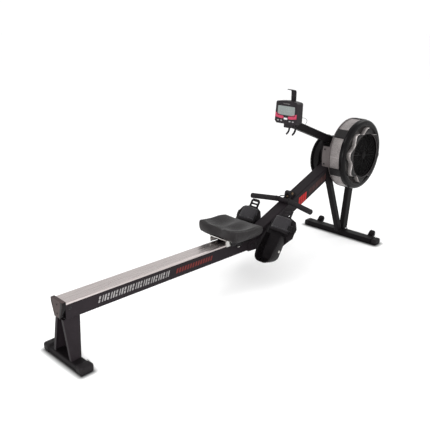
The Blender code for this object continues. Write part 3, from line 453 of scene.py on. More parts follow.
def swell(obj, frames, pressure, cap, voxel):
    """Inflates a closed mesh a little as cloth, moving no point further than cap."""
    remesh = obj.modifiers.new("remesh", "REMESH")
    remesh.mode, remesh.voxel_size = "VOXEL", voxel
    bpy.context.view_layer.objects.active = obj
    bpy.ops.object.modifier_apply(modifier="remesh")
    before = [v.co.copy() for v in obj.data.vertices]
    cloth = obj.modifiers.new("cloth", "CLOTH")
    cloth.settings.use_pressure = True
    cloth.settings.uniform_pressure_force = pressure
    cloth.settings.quality = 4
    cloth.settings.effector_weights.gravity = 0
    cloth.collision_settings.use_collision = False
    scene = bpy.context.scene
    for step in range(1, frames + 1):
        scene.frame_set(step)
    bpy.ops.object.modifier_apply(modifier="cloth")
    scene.frame_set(1)
    for vertex, start in zip(obj.data.vertices, before):
        move = vertex.co - start
        if move.length > cap:
            vertex.co = start + move * (cap / move.length)
    obj.data.update()


def make_seat():
    along, across = 34, 44
    bm = bmesh.new()
    base = SEAT_BASE + TRAY
    side_levels = ((0.940, 0.0), (0.972, 0.10), (1.000, 0.35), (1.014, 0.65), (1.0, 0.88), (0.972, 1.0))
    top = []
    for i in range(along + 1):
        u = 2 * i / along - 1
        row = []
        for j in range(across + 1):
            v = 2 * j / across - 1
            x, y = seat_edge(u, v, 0.965)
            row.append(bm.verts.new((x, y, seat_height(u, v))))
        top.append(row)
    add_grid_faces(bm, top)
    rim = grid_rim(along, across)
    rings = [[top[i][j] for i, j in rim]]
    for grow, share in reversed(side_levels[:-1]):
        ring = []
        for i, j in rim:
            u, v = 2 * i / along - 1, 2 * j / across - 1
            x, y = seat_edge(u, v, 0.985 * grow, share)
            ring.append(bm.verts.new((x, y, base + (seat_height(u, v) - 0.004 - base) * share)))
        rings.append(ring)
    add_ring_faces(bm, rings, caps=False)
    bm.faces.new(rings[-1])
    bmesh.ops.triangulate(bm, faces=[f for f in bm.faces if len(f.verts) > 4])
    pad = made(bm, "seat_cushion", VINYL, None, None, SEAT, degrees=180)
    swell(pad, 20, 4.0, 0.005, 0.005)
    for face in pad.data.polygons:
        face.use_smooth = True
    pad.modifiers.new("relax", "SMOOTH").iterations = 6
    pad.modifiers.new("subdivision", "SUBSURF").render_levels = 1
    bpy.context.view_layer.objects.active = pad
    for modifier in ("relax", "subdivision"):
        bpy.ops.object.modifier_apply(modifier=modifier)
    for vertex in pad.data.vertices:
        low = (SEAT.inverted() @ vertex.co).z - base
        if low < 0.0008:
            vertex.co.z += 0.0008 - low
    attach(pad, "seat")
    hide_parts("seat_pad")

    bm = bmesh.new()
    outline = []
    for k in range(72):
        angle = 2 * math.pi * k / 72
        c, s = math.cos(angle), math.sin(angle)
        reach = 1 / max(abs(c), abs(s))
        outline.append(seat_edge(c * reach, s * reach, 0.905, 0))
    add_prism(bm, outline, SEAT_BASE + 0.0004, SEAT_BASE + TRAY - 0.0004)
    made(bm, "seat_tray", PLASTIC, "seat", "black_plastic", SEAT, bevel=0.0015)

    bm = bmesh.new()  # bright rear edge of the carriage, under the pad
    add_box(bm, (0.0030, 0.1330, 0.0095), at(-0.1058, 0, 0.0336))
    for side in (1, -1):
        add_box(bm, (0.0030, 0.0060, 0.0340), at(-0.1058, side * 0.0635, 0.0212))
    made(bm, "carriage_rear_edge", ZINC, "seat", "zinc", SEAT, bevel=0.0005)

    # dark sheets over the carriage's front three quarters, painted shade under the pad where the zinc carriage would
    # show, with the axle nuts standing proud of them
    for side, word in SIDES:
        bm = bmesh.new()
        outline = ((-0.070, -0.004), (-0.062, -0.012), (-0.020, -0.012), (-0.016, -0.026), (0.016, -0.026),
                   (0.020, -0.012), (0.096, -0.012), (0.103, -0.004), (0.103, 0.034), (-0.070, 0.034))
        add_prism(bm, outline, 0.0702, 0.0722, turn(90, "X") if side < 0 else turn(90, "X") @ at(0, 0, -0.1424))
        made(bm, f"carriage_shade_sheet_{word}", GLOSSY, "seat", "black_plastic", SEAT, bevel=0.0006)
        bm = bmesh.new()
        for x in (-0.062, 0.062):
            add_bolt(bm, at(x, side * 0.0724, 0.0173) @ turn(-90 * side, "X"), 0.0070, 0.004)
        made(bm, f"carriage_nuts_{word}", SCREW, "seat", "zinc", SEAT)


# ---- footrests ----
def foot_arch(share, half, rise, power=3.2):
    """A flat-topped arch across the foot, share from -1 to 1."""
    angle = math.pi / 2 * share
    across = math.copysign(abs(math.sin(angle)) ** (2 / power), share)
    return half * across, rise * abs(math.cos(angle)) ** (2 / power)


def flap_at(t):
    """The flap's station on the foot, half width and height, t from 0 at its heel side to 1."""
    return 0.207 + 0.084 * t, 0.0660 - 0.0115 * t, 0.0415 - 0.0105 * t


def make_toe_flap(word, y, outer):
    local = FOOT @ at(0, y, 0.0006)
    rows, columns, thick = 12, 34, 0.0075
    bm = bmesh.new()
    skins = []
    for level in (1, -1):
        skin = []
        for i in range(rows + 1):
            t = i / rows
            x, half, rise = flap_at(t)
            row = []
            for j in range(columns + 1):
                share = 2 * j / columns - 1
                y0, z0 = foot_arch(share, half, rise)
                y1, z1 = foot_arch(share, half - thick, rise - thick)
                puff = (1 - (2 * t - 1) ** 6) * (1 - abs(share) ** 8)
                depth = 0.5 - 0.5 * level * (0.35 + 0.65 * puff)
                row.append(bm.verts.new((x, y0 + (y1 - y0) * depth, z0 + (z1 - z0) * depth + 0.002)))
            skin.append(row)
        skins.append(skin)
    for skin in skins:
        add_grid_faces(bm, skin)
    rim = grid_rim(rows, columns)
    for k, (i, j) in enumerate(rim):
        m, n = rim[(k + 1) % len(rim)]
        bm.faces.new((skins[0][i][j], skins[0][m][n], skins[1][m][n], skins[1][i][j]))
    flap = made(bm, f"toe_flap_{word}", FABRIC, "frame", "strap_fabric", local, [f"toe_strap_{word}"], degrees=180,
                subdivide=1)

    bm = bmesh.new()  # thick padded lip at the heel side
    lip = []
    for j in range(41):
        y0, z0 = foot_arch((2 * j / 40 - 1) * 0.97, 0.0610, 0.0370)
        lip.append((0.2015, y0, z0 + 0.0015))
    add_tube(bm, lip, [0.0080] + [0.0090] * 39 + [0.0080], 14)
    made(bm, f"toe_lip_{word}", RUBBER, "frame", "strap_fabric", local, degrees=60)

    bm = bmesh.new()  # two rows of stitches
    stitches = 27
    for t in (0.14, 0.93):
        x, half, rise = flap_at(t)
        for j in range(stitches):
            y0, z0 = foot_arch((2 * (j + 0.5) / stitches - 1) * 0.80, half, rise)
            add_tube(bm, [(x, y0 - 0.0011, z0 + 0.0020), (x, y0 + 0.0011, z0 + 0.0020)], 0.0005, 5)
    made(bm, f"toe_stitching_{word}", SILVER_INK, "frame", "strap_fabric", local)

    # webbing from the flap down round both edges of the board, with a ladder buckle on the outer side
    strap_x = 0.2330
    bm = bmesh.new()
    for across in (outer * 0.0985, -outer * 0.0845):
        sign = math.copysign(1, across)
        inner = sign * 0.0600
        loop = ((inner, 0.0260), (inner * 0.6 + across * 0.4, 0.0215), (across - sign * 0.008, 0.0080),
                (across + sign * 0.0015, -0.0010), (across + sign * 0.0012, -0.0075),
                (across - sign * 0.0080, -0.0110), (across - sign * 0.0300, -0.0115))
        add_strip(bm, smoothed([(strap_x, y0, z0) for y0, z0 in loop], 5), 0.026, 0.0020, side=Vector((1, 0, 0)))
    made(bm, f"toe_webbing_{word}", WEBBING, "frame", "strap_fabric", local, degrees=50)
    bm = bmesh.new()
    buckle = at(strap_x, outer * 0.0800, 0.0165) @ turn(-outer * 32, "X")
    for y1 in (-0.010, 0.0, 0.010):
        add_tube(bm, [(-0.0165, y1, 0.0022), (0.0165, y1, 0.0022)], 0.0015, 8, buckle)
    for x in (-0.0165, 0.0165):
        add_tube(bm, [(x, -0.0115, 0.0022), (x, 0.0115, 0.0022)], 0.0018, 8, buckle)
    made(bm, f"toe_buckle_{word}", GLOSSY, "frame", "zinc", local)


def heel_path(depth, half, reach=0.172, heel_x=0.066, straight=8, steps=32, square=0.62):
    """A squarish U round the heel, `depth` behind heel_x and `half` to each side."""
    side = [(reach + (heel_x - reach) * i / straight, half) for i in range(straight)]
    back = []
    for i in range(steps + 1):
        angle = math.pi * i / steps
        behind, across = math.sin(angle) ** square, abs(math.cos(angle)) ** square
        back.append((heel_x - depth * behind, math.copysign(half * across, math.cos(angle))))
    return side + back + [(x, -y) for x, y in reversed(side)]


def make_heel_cup(word, y):
    wall, floor, heel_rim, toe_rim = 0.004, 0.002, 0.070, 0.052
    local = FOOT @ at(0, y, 0.0003)
    body = f"heel_cup_{word}"
    paths = []
    shares = (0.0, 0.06, 0.16, 0.30, 0.50, 0.75, 1.0)
    for share in shares:
        paths.append(heel_path(0.046 + 0.031 * share ** 0.6, 0.0600 + 0.0020 * math.sin(math.pi * share)))

    def rim_height(x):
        return heel_rim + (toe_rim - heel_rim) * min(1, max(0, (x - 0.066) / 0.106))

    bm = bmesh.new()
    rows = []
    for points in zip(*paths):
        rows.append([bm.verts.new((px, py, floor + (rim_height(px) - floor) * share))
                     for (px, py), share in zip(points, shares)])
    add_grid_faces(bm, rows)
    cup = made(bm, f"heel_shell_{word}", GLOSSY, body, "rubber", local, [body], degrees=60)
    thick = cup.modifiers.new("thickness", "SOLIDIFY")
    thick.thickness, thick.offset = wall, 0.0
    rounded = cup.modifiers.new("bevel", "BEVEL")
    rounded.width, rounded.segments = 0.0012, 2
    rounded.limit_method, rounded.angle_limit = "ANGLE", math.radians(50)

    bm = bmesh.new()
    add_tube(bm, [(px, py, rim_height(px)) for px, py in paths[-1]], 0.0040, 10)
    add_prism(bm, heel_path(0.0470, 0.0610), 0.0005, 0.0042)
    for i in range(9):  # tread ribs across the sole
        add_box(bm, (0.004, 0.070, 0.0022), at(0.050 + 0.014 * i, 0, 0.0050))
    made(bm, f"heel_bead_{word}", RUBBER, body, "rubber", local, degrees=50)
    bm = bmesh.new()
    for side in (1, -1):
        add_bolt(bm, at(0.082, side * 0.0642, 0.0240) @ turn(-90 * side, "X"), 0.0055, 0.0040)
    made(bm, f"heel_bolts_{word}", ZINC, body, "zinc", local)


def make_footrests():
    for side, word in SIDES:
        y = side * 0.132
        make_heel_cup(word, y)
        make_toe_flap(word, y, side)
        bm = bmesh.new()
        for i in range(6):  # raised ribs on the toe board
            add_box(bm, (0.005, 0.076 - 0.003 * i, 0.0018), at(0.192 + 0.016 * i, 0, 0.0008))
        for x in (0.190, 0.270):
            for across in (-0.040, 0.040):
                add_bolt(bm, at(x, across, 0.0), 0.004, 0.0025, washer=False)
        made(bm, f"board_ribs_{word}", RUBBER, "frame", "black_plastic", FOOT @ at(0, y, 0.0002))
    bm = bmesh.new()
    for side in (1, -1):
        add_lathe(bm, ((0, 0.1752), (0.011, 0.1752), (0.0135, 0.1772), (0.0115, 0.1800), (0, 0.1812)), 24,
                  at(0.235, 0, -0.0235) @ turn(-90 * side, "X"))
    made(bm, "cross_bar_plugs", PLASTIC, "frame", "black_plastic", FOOT)


# ---- fan ----
def lobed(degrees):
    """Radius of the rim round the mouth, one of its eight lobes 9 degrees below the front."""
    return 0.1690 + 0.0160 * math.cos(8 * math.radians(degrees + 9))


def add_lobed(bm, section, steps=288):
    """Turns an outline about Z along the lobes; section gives the outline for a radius of the rim."""
    rings = []
    for k in range(steps):
        degrees = 360 * k / steps
        rings.append([bm.verts.new(turn(degrees, "Z") @ Vector((r, 0, z))) for r, z in section(lobed(degrees))])
    add_ring_faces(bm, rings, closed_along=True)


def trim_wall(edge):
    return [(edge + r, z) for r, z in ((0.0, 0.1582), (0.0004, 0.1600), (0.0, 0.1835), (-0.0006, 0.1852),
                                       (-0.0020, 0.1860), (-0.0026, 0.1852), (-0.0022, 0.1582))]


def trim_mouth(edge):
    edge -= 0.0022  # inside the wall
    return ((edge, 0.1582), (edge, 0.1858), (edge + 0.0012, 0.1864), (edge + 0.0004, 0.1874),
            (0.5 * edge + 0.0742, 0.1876), (0.1484, 0.1872), (0.1468, 0.1855), (0.1462, 0.1800), (0.1456, 0.1340),
            (0.1466, 0.1340), (0.1468, 0.1582))


def make_fan():
    bm = bmesh.new()
    add_lathe(bm, (
        (0.1465, 0.1555), (0.1465, 0.1578), (0.1880, 0.1580), (0.1905, 0.1595), (0.1925, 0.1635), (0.1955, 0.1655),
        (0.2040, 0.1662), (0.2075, 0.1658), (0.2085, 0.1645), (0.2100, 0.1645), (0.2112, 0.1656), (0.2160, 0.1652),
        (0.2230, 0.1635), (0.2290, 0.1595), (0.2325, 0.1540), (0.2340, 0.1475), (0.2340, 0.1425), (0.2332, 0.1420),
        (0.2332, 0.1405), (0.2340, 0.1400), (0.2340, 0.1340), (0.2330, 0.1330), (0.2312, 0.1330), (0.2308, 0.1480),
        (0.2240, 0.1575), (0.2140, 0.1610), (0.1960, 0.1610), (0.1920, 0.1555),
    ), 144)
    made(bm, "near_cover", SHELL, "frame", "black_plastic", FAN, ["fan_cover_near"], degrees=45)

    # perforated band: eight-sided holes in a thin curved sheet
    count, first, pitch, rows, outer, thick = 200, 0.0610, 0.0076, 10, 0.2307, 0.0012
    hole = 0.0024
    bm = bmesh.new()
    shared = {}

    def corner(i, z):
        key = (round(i % count, 2), round(z, 5))
        if key not in shared:
            angle = 2 * math.pi * i / count
            shared[key] = bm.verts.new((outer * math.cos(angle), outer * math.sin(angle), z))
        return shared[key]

    step = outer * 2 * math.pi / count
    for i in range(count):
        for k in range(rows):
            z0 = first + pitch * k
            ring = [corner(i, z0), corner(i + 0.5, z0), corner(i + 1, z0), corner(i + 1, z0 + pitch / 2),
                    corner(i + 1, z0 + pitch), corner(i + 0.5, z0 + pitch), corner(i, z0 + pitch),
                    corner(i, z0 + pitch / 2)]
            inner = []
            for m in range(8):
                angle = math.radians(225 + 45 * m)
                around = (i + 0.5 + hole * math.cos(angle) / step) * 2 * math.pi / count
                inner.append(bm.verts.new((outer * math.cos(around), outer * math.sin(around),
                                           z0 + pitch / 2 + hole * math.sin(angle))))
            for m in range(8):
                n = (m + 1) % 8
                bm.faces.new((ring[m], ring[n], inner[n], inner[m]))
    band = made(bm, "perforated_band", BAND, "frame", "fan_band_steel", FAN, ["fan_band"], degrees=60)
    band.modifiers.new("thickness", "SOLIDIFY").thickness = thick

    bm = bmesh.new()
    for low, high in ((0.0580, 0.0625), (0.1350, 0.1410)):  # plain edges of the band
        strip = [(outer + r, z) for r, z in ((-0.001, low), (0.0012, low), (0.0012, high), (-0.001, high))]
        add_lathe(bm, strip, 144)
    for degrees in range(9, 360, 24):  # ribs behind the holes
        along = [(math.cos(math.radians(degrees)) * 0.2285, math.sin(math.radians(degrees)) * 0.2285, z)
                 for z in (0.060, 0.139)]
        add_tube(bm, along, 0.0022, 6)
    made(bm, "band_edges", BAND, "frame", "fan_band_steel", FAN)

    # clips that hold the near cover to the band
    for index, (centre, spread) in enumerate(((137, 8.0), (79, 8.5), (203, 7.0), (315, 7.5), (262, 6.5), (20, 7.5))):
        bm = bmesh.new()
        section = ((0.2322, 0.0560), (0.2352, 0.0580), (0.2362, 0.0640), (0.2362, 0.1345), (0.2354, 0.1395),
                   (0.2346, 0.1400), (0.2344, 0.1324), (0.2322, 0.1318))
        rings = []
        for k in range(13):
            angle = math.radians(centre - spread + 2 * spread * k / 12)
            rings.append([bm.verts.new((r * math.cos(angle), r * math.sin(angle), z)) for r, z in section])
        add_ring_faces(bm, rings)
        for k in range(5):
            for z in (0.070, 0.082, 0.094, 0.106, 0.118, 0.129):
                angle = centre - spread * 0.76 + spread * 0.38 * k
                add_lathe(bm, ((0, 0), (0.0028, 0), (0.0022, 0.0009), (0, 0.0012)), 8,
                          turn(angle, "Z") @ at(0.2361, 0, z) @ turn(90, "Y"))
        made(bm, f"band_clip_{index + 1}", CLIP, "frame", "black_plastic", FAN, degrees=30, bevel=0.0010)

    # raised rim round the mouth: satin wall drawn out to eight lobes, dark face, round throat with a bead
    bm = bmesh.new()
    add_lobed(bm, trim_wall)
    made(bm, "lobed_trim", TRIM, "frame", "trim", FAN, ["fan_trim_ring"], degrees=50)
    bm = bmesh.new()
    add_lobed(bm, trim_mouth)
    made(bm, "trim_face", SHELL, "frame", "trim", FAN, degrees=50)
    bm = bmesh.new()
    add_tube(bm, arc(0.1478, 0, 360, 144, 0.1872)[:-1], 0.0009, 8, closed=True)
    made(bm, "mouth_bead", GREY, "frame", "trim", FAN)

    # wire guard inside the mouth
    bm = bmesh.new()
    for k in range(16):
        add_tube(bm, arc(0.0320 + 0.0070 * k, 0, 360, 96)[:-1], 0.0007, 5, at(0, 0, 0.1712), closed=True)
    for k in range(32):
        start, thick = (0.024, 0.0012) if k % 4 == 0 else (0.060, 0.0007)
        add_tube(bm, [(start, 0, 0.1725), (0.1425, 0, 0.1725)], thick, 6, turn(11.25 * k - 9, "Z"))
    add_lathe(bm, ((0.1405, 0.1705), (0.1447, 0.1705), (0.1447, 0.1735), (0.1405, 0.1735)), 96)
    made(bm, "wire_guard", WIRE, "frame", "fan_metal", FAN, ["fan_guard"], degrees=60)
    bm = bmesh.new()
    add_lathe(bm, ((0, 0.1705), (0.026, 0.1705), (0.0265, 0.1730), (0.024, 0.1750), (0.014, 0.1758), (0, 0.1758)), 40)
    made(bm, "guard_hub", DARK_METAL, "frame", "fan_metal", FAN)

    # lighter edge moulding on the far cover's rim
    bm = bmesh.new()
    add_lathe(bm, ((0.2338, 0.0515), (0.2349, 0.0530), (0.2351, 0.0585), (0.2342, 0.0620), (0.2326, 0.0622),
                   (0.2338, 0.0580)), 144)
    made(bm, "far_rim", GREY, "frame", "grey_panel", FAN, degrees=50)

    # screw heads of the grey panel, then screws and rings on the chain cover
    bm = bmesh.new()
    for degrees in (167, 191):
        add_bolt(bm, turn(degrees, "Z") @ at(0.2368, 0, 0.020) @ turn(90, "Y"), 0.0058, 0.0034, washer=False)
    made(bm, "panel_screws", SCREW, "frame", "grey_panel", FAN)
    chain_cover = at(-0.044, -0.047, 0)
    bm = bmesh.new()
    for k in range(6):
        around = chain_cover @ turn(60 * k + 20, "Z")
        add_bolt(bm, around @ at(0.118, 0, -0.122) @ turn(180, "X"), 0.006, 0.003)
    made(bm, "chain_cover_screws", SCREW, "frame", "zinc", FAN)
    bm = bmesh.new()
    for radius in (0.060, 0.085, 0.1355):
        add_tube(bm, arc(radius, 0, 360, 96)[:-1], 0.0016, 8, chain_cover @ at(0, 0, -0.1218), closed=True)
    made(bm, "chain_cover_rings", GLOSSY, "frame", "black_plastic", FAN)


# ---- handle and chain ----
def make_handle():
    straight, back, drop, half = 0.045, 0.032, 0.016, 0.2385
    grip_start, grip, tube = 0.052, 0.0170, 0.0145
    lean_back = math.atan2(back, half - straight)
    lean_down = math.atan2(drop, math.hypot(back, half - straight))
    end = (half - grip_start) / (math.cos(lean_back) * math.cos(lean_down))
    share = (grip_start - straight) / (half - straight)
    for side, word in SIDES:
        profile = [(tube + 0.0006, 0.0), (grip + 0.0004, 0.0), (grip + 0.0012, 0.0012), (grip + 0.0012, 0.0040),
                   (grip, 0.0052)]
        position = 0.010
        while position < end - 0.014:
            profile += [(grip, position), (grip - 0.0007, position + 0.0008), (grip - 0.0007, position + 0.0022),
                        (grip, position + 0.0030)]
            position += 0.0085
        profile += [(grip, end - 0.0045), (grip - 0.0015, end - 0.0012), (grip - 0.0045, end), (0.004, end),
                    (0.003, end - 0.001), (0, end - 0.001), (0, end - 0.004), (tube + 0.0006, end - 0.004)]
        bm = bmesh.new()
        add_lathe(bm, profile, 40)
        place = HANDLE @ at(-back * share, side * grip_start, -drop * share)
        place = place @ turn(side * math.degrees(lean_back), "Z") @ turn(-side * (90 + math.degrees(lean_down)), "X")
        made(bm, f"rubber_grip_{word}", GRIP, "handle", "rubber", place, [f"grip_{word}"], degrees=50)

    # bent wire yoke from the bar to the chain, with the two clamps that hold it
    bm = bmesh.new()
    yoke = [(0.000, 0.040, 0.008), (0.016, 0.0385, 0.0145), (0.031, 0.027, 0.0165), (0.042, 0.012, 0.0145)]
    yoke += [(x, -y, z) for x, y, z in reversed(yoke)]
    add_tube(bm, smoothed(yoke, 6), 0.0032, 10)
    for y in (-0.040, 0.040):
        add_lathe(bm, ((0.0147, -0.007), (0.0168, -0.007), (0.0172, -0.005), (0.0172, 0.005), (0.0168, 0.007),
                       (0.0147, 0.007)), 32, at(0, y, 0) @ turn(90, "X"))
    made(bm, "handle_yoke", GLOSSY, "handle", "black_paint", HANDLE)
    bm = bmesh.new()
    add_lathe(bm, ((0, -0.007), (0.0058, -0.007), (0.0066, -0.005), (0.0066, 0.005), (0.0058, 0.007), (0, 0.007)), 20,
              at(0.0450, 0, 0.0140) @ turn(107, "Y"))
    made(bm, "chain_swivel", BRASS, "handle", "zinc", HANDLE)

    # the drive chain at rest, gathered between the guide and the yoke: its links are spaced along the full pull and
    # squeezed to where they lie at rest
    rise = math.radians(17)  # of the line of the pull
    pull = Vector((-math.cos(rise), 0, math.sin(rise)))
    stroke, pitch = 1.10, 0.0127
    hook = HANDLE @ Vector((0.0480, 0, 0.0132))
    reach = 0.040
    mouth = hook - pull * reach
    links = int((stroke + reach) / pitch)

    def parked(out):
        """Where a point lies at rest that stands `out` along the fully drawn chain."""
        low, high = 0.0, 1.0
        for _ in range(40):
            t = (low + high) / 2
            if reach * t + stroke * t * t * (3 - 2 * t) < out:
                low = t
            else:
                high = t
        return reach * (low + high) / 2

    bm = bmesh.new()
    across = Vector((0, 1, 0))
    up = pull.cross(across)
    whole = stroke + reach
    for k in range(links):
        start, end = whole * k / links, whole * (k + 1) / links
        inner = k % 2 == 0
        for y in (-1, 1):
            offset = y * (0.0024 if inner else 0.0036)
            outline = []
            for m in range(10):
                angle = 2 * math.pi * m / 10
                along = start - 0.0030 + (end - start + 0.0060) * (0.5 - 0.5 * math.cos(angle))
                outline.append((along, 0.0040 * math.sin(angle) * (1 - 0.25 * math.sin(angle) ** 2)))
            rings = []
            for thick in (-0.0005, 0.0005):
                ring = []
                for along, high in outline:
                    spot = mouth + pull * parked(min(max(along, 0), whole))
                    ring.append(bm.verts.new(spot + across * (offset + thick) + up * high))
                rings.append(ring)
            add_ring_faces(bm, rings)
        rings = []
        for y in (-0.0044, 0.0044):
            ring = []
            for m in range(8):
                angle = 2 * math.pi * m / 8
                spot = mouth + pull * parked(min(max(end + 0.0021 * math.cos(angle), 0), whole))
                ring.append(bm.verts.new(spot + across * y + up * 0.0021 * math.sin(angle)))
            rings.append(ring)
        add_ring_faces(bm, rings)
    chain = made(bm, "pulled_chain", ZINC, None, None, degrees=40)
    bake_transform(chain)

    # chain guide: a brass boss and two screws on each side
    guide = BEAM @ at((1.702 - 1.349) / math.cos(math.radians(21.3)), 0, 0)
    bm = bmesh.new()
    for side in (-1, 1):
        add_lathe(bm, ((0, -0.0035), (0.0085, -0.0035), (0.0095, -0.002), (0.0095, 0.002), (0.0085, 0.0035),
                       (0, 0.0035)), 24, guide @ at(0.006, side * 0.02419, 0.028) @ turn(90, "X"))
    made(bm, "guide_bush", BRASS, "frame", "zinc")
    bm = bmesh.new()
    for side in (-1, 1):
        for x in (-0.018, 0.026):
            add_bolt(bm, guide @ at(x, side * 0.0236, 0.006) @ turn(-90 * side, "X"), 0.0042, 0.003)
    made(bm, "guide_screws", SCREW, "frame", "zinc")


# ---- printed panels, thin raised inks of a generic pattern ----
RAIL_SIDE, BEAM_SIDE = 0.0431, 0.0401  # from the middle to the printed faces


def add_decal(bm, outline, matrix, thick=0.00035):
    add_prism(bm, outline, 0, thick, matrix)


def slanted(x0, x1, low, high, lean=0.35):
    rise = high - low
    return ((x0, low), (x1, low), (x1 + rise * lean, high), (x0 + rise * lean, high))


def make_prints():
    for side in (-1, 1):
        word = "right" if side < 0 else "left"
        flip = turn(90, "X") if side < 0 else turn(180, "Z") @ turn(90, "X")

        def outline(points):
            found = [(x * -side, z) for x, z in points]
            return found if side < 0 else list(reversed(found))

        rail = RAIL @ at(0, side * RAIL_SIDE, 0) @ flip
        bm = bmesh.new()
        x = 0.198
        for k in range(27):  # bars of three widths, every third one split
            wide = (0.010, 0.006, 0.008)[k % 3]
            if k % 3:
                add_decal(bm, outline(slanted(x, x + wide, -0.065, -0.033, 0.3)), rail)
            else:
                add_decal(bm, outline(slanted(x, x + wide, -0.065, -0.052, 0.3)), rail)
                add_decal(bm, outline(slanted(x + 0.0048, x + wide + 0.0048, -0.048, -0.033, 0.3)), rail)
            x += wide + (0.0076 if k % 3 else 0.0106)
        made(bm, f"rail_stripes_silver_{word}", SILVER_INK, "frame", "black_paint")
        bm = bmesh.new()
        for k in range(14):
            x = 0.690 + 0.0196 * k
            add_decal(bm, outline(slanted(x, x + 0.012, -0.064, -0.038, 0.3)), rail)
        made(bm, f"rail_stripes_red_{word}", DARK_RED, "frame", "black_paint")

        beam = BEAM @ at(0, side * BEAM_SIDE, 0) @ flip
        bm = bmesh.new()
        for k in range(4):
            x = 0.396 + 0.0225 * k
            add_decal(bm, outline(slanted(x, x + 0.0175, -0.081, -0.026 - 0.001 * k, 0.45)), beam)
        made(bm, f"beam_block_red_{word}", RED, "frame", "black_paint")
        bm = bmesh.new()
        for k in range(15):
            x = 0.520 + 0.0155 * k
            add_decal(bm, outline(slanted(x, x + (0.0085 if k % 2 else 0.0060), -0.066, -0.030, 0.3)), beam)
        made(bm, f"beam_stripes_{word}", BROWN_RED, "frame", "black_paint")


# ---- display ----
def make_display():
    # X across to the right of the viewer, Y up, Z out to the rower
    face = CASE @ Matrix(((0, 0, -1, 0), (-1, 0, 0, 0), (0, 1, 0, 0), (0, 0, 0, 1)))

    def swoosh(sign):
        upper, lower = [], []
        for k in range(15):
            t = k / 14
            x = sign * (0.0165 + 0.0636 * t)
            middle = 0.0350 + 0.0120 * t ** 1.4
            half = (0.0085 + 0.0055 * t) * min(1, 0.55 + 3 * t)
            upper.append((x, middle + half))
            lower.append((x, middle - half))
        points = lower + list(reversed(upper))
        return points if sign > 0 else list(reversed(points))

    bm = bmesh.new()
    for sign in (1, -1):
        add_prism(bm, swoosh(sign), 0.0, 0.0009, face)
    made(bm, "face_swoosh", PINK, "display", "black_plastic", degrees=30)

    bm = bmesh.new()
    screen_y = 0.0755
    loops = []
    for half_x, half_y, z in ((0.0685, 0.0315, 0.0), (0.0685, 0.0315, 0.0010), (0.0650, 0.0278, 0.0014),
                              (0.0640, 0.0268, 0.0)):
        around = squared(half_x, half_y, 0.16, 48)
        loops.append([bm.verts.new(face @ Vector((x, screen_y + y, z))) for x, y in around])
    add_ring_faces(bm, loops, closed_along=True)
    made(bm, "screen_bezel", CASE_GREY, "display", "black_plastic", degrees=25)

    bm = bmesh.new()  # a plain double line above the screen
    for x0, x1, y in ((-0.026, 0.026, 0.1165), (-0.020, 0.020, 0.1135)):
        add_prism(bm, ((x0, y), (x1, y), (x1, y + 0.0012), (x0, y + 0.0012)), 0, 0.0004, face)
    made(bm, "face_lines", SILVER_INK, "display", "black_plastic")

    bm = bmesh.new()  # recessed rings round the keys
    small = [(x, 0.014, 0.0083, 0.0051) for x in (0.056, 0.032, -0.032, -0.056)]
    for x, y, w, h in ((0, 0.0275, 0.0150, 0.0072), *small):
        points = [(x + dx, y + dy, 0.0004) for dx, dy in squared(w, h, 0.35, 28)]
        add_tube(bm, points, 0.0007, 6, face, closed=True)
    made(bm, "key_rings", CASE_GREY, "display", "black_plastic")

    bm = bmesh.new()  # segments of an unlit liquid-crystal display
    for row, (y, size) in enumerate(((0.0900, 0.0105), (0.0735, 0.0085), (0.0590, 0.0085))):
        for k in range(9 if row else 7):
            x = -0.050 + k * (0.1000 / (8 if row else 6))
            for dy in (-size / 2, 0, size / 2):
                add_box(bm, (0.0042, 0.0007, 0.00012), face @ at(x, y + dy, 0.00058))
            for dx in (-0.0026, 0.0026):
                for dy in (-size / 4, size / 4):
                    add_box(bm, (0.0007, size / 2 - 0.0012, 0.00012), face @ at(x + dx, y + dy, 0.00058))
    ghost = surface("unlit_segment", (0.245, 0.285, 0.270), 0.30, mottle=0.03)
    made(bm, "screen_segments", ghost, "display", "screen")

    bm = bmesh.new()  # screws at the back of the case
    for y, z in ((-0.062, 0.020), (0.062, 0.020), (-0.058, 0.112), (0.058, 0.112)):
        add_bolt(bm, CASE @ at(0.0558, y, z) @ turn(90, "Y"), 0.0036, 0.0016, washer=False)
    made(bm, "case_screws", SCREW, "display", "black_plastic")

    bm = bmesh.new()  # rubber sleeves on the two fingers
    finger = ((-0.003, -0.019), (-0.004, -0.030), (-0.006, -0.039), (-0.015, -0.051), (-0.030, -0.0600))
    for y in (-0.0225, 0.0225):
        points = smoothed([(x, y, z) for x, z in finger], 5)
        add_tube(bm, points, [0.0058] * (len(points) - 2) + [0.0052, 0.0030], 14, TILT)
    for vertex in bm.verts:  # flat inner sides, clear of the arm between them
        vertex.co.y = math.copysign(max(abs(vertex.co.y), 0.0209), vertex.co.y)
    made(bm, "finger_sleeves", RUBBER, "display", "rubber")
    bm = bmesh.new()  # tilt knobs either side of the lugs
    for side in (1, -1):
        add_lathe(bm, ((0, 0), (0.0125, 0), (0.0135, 0.002), (0.0135, 0.007), (0.0115, 0.010), (0, 0.0105)), 28,
                  TILT @ at(-0.001, side * 0.0282, 0) @ turn(-90 * side, "X"))
    made(bm, "tilt_knobs", PLASTIC, "display", "black_plastic", bevel=0.0005)


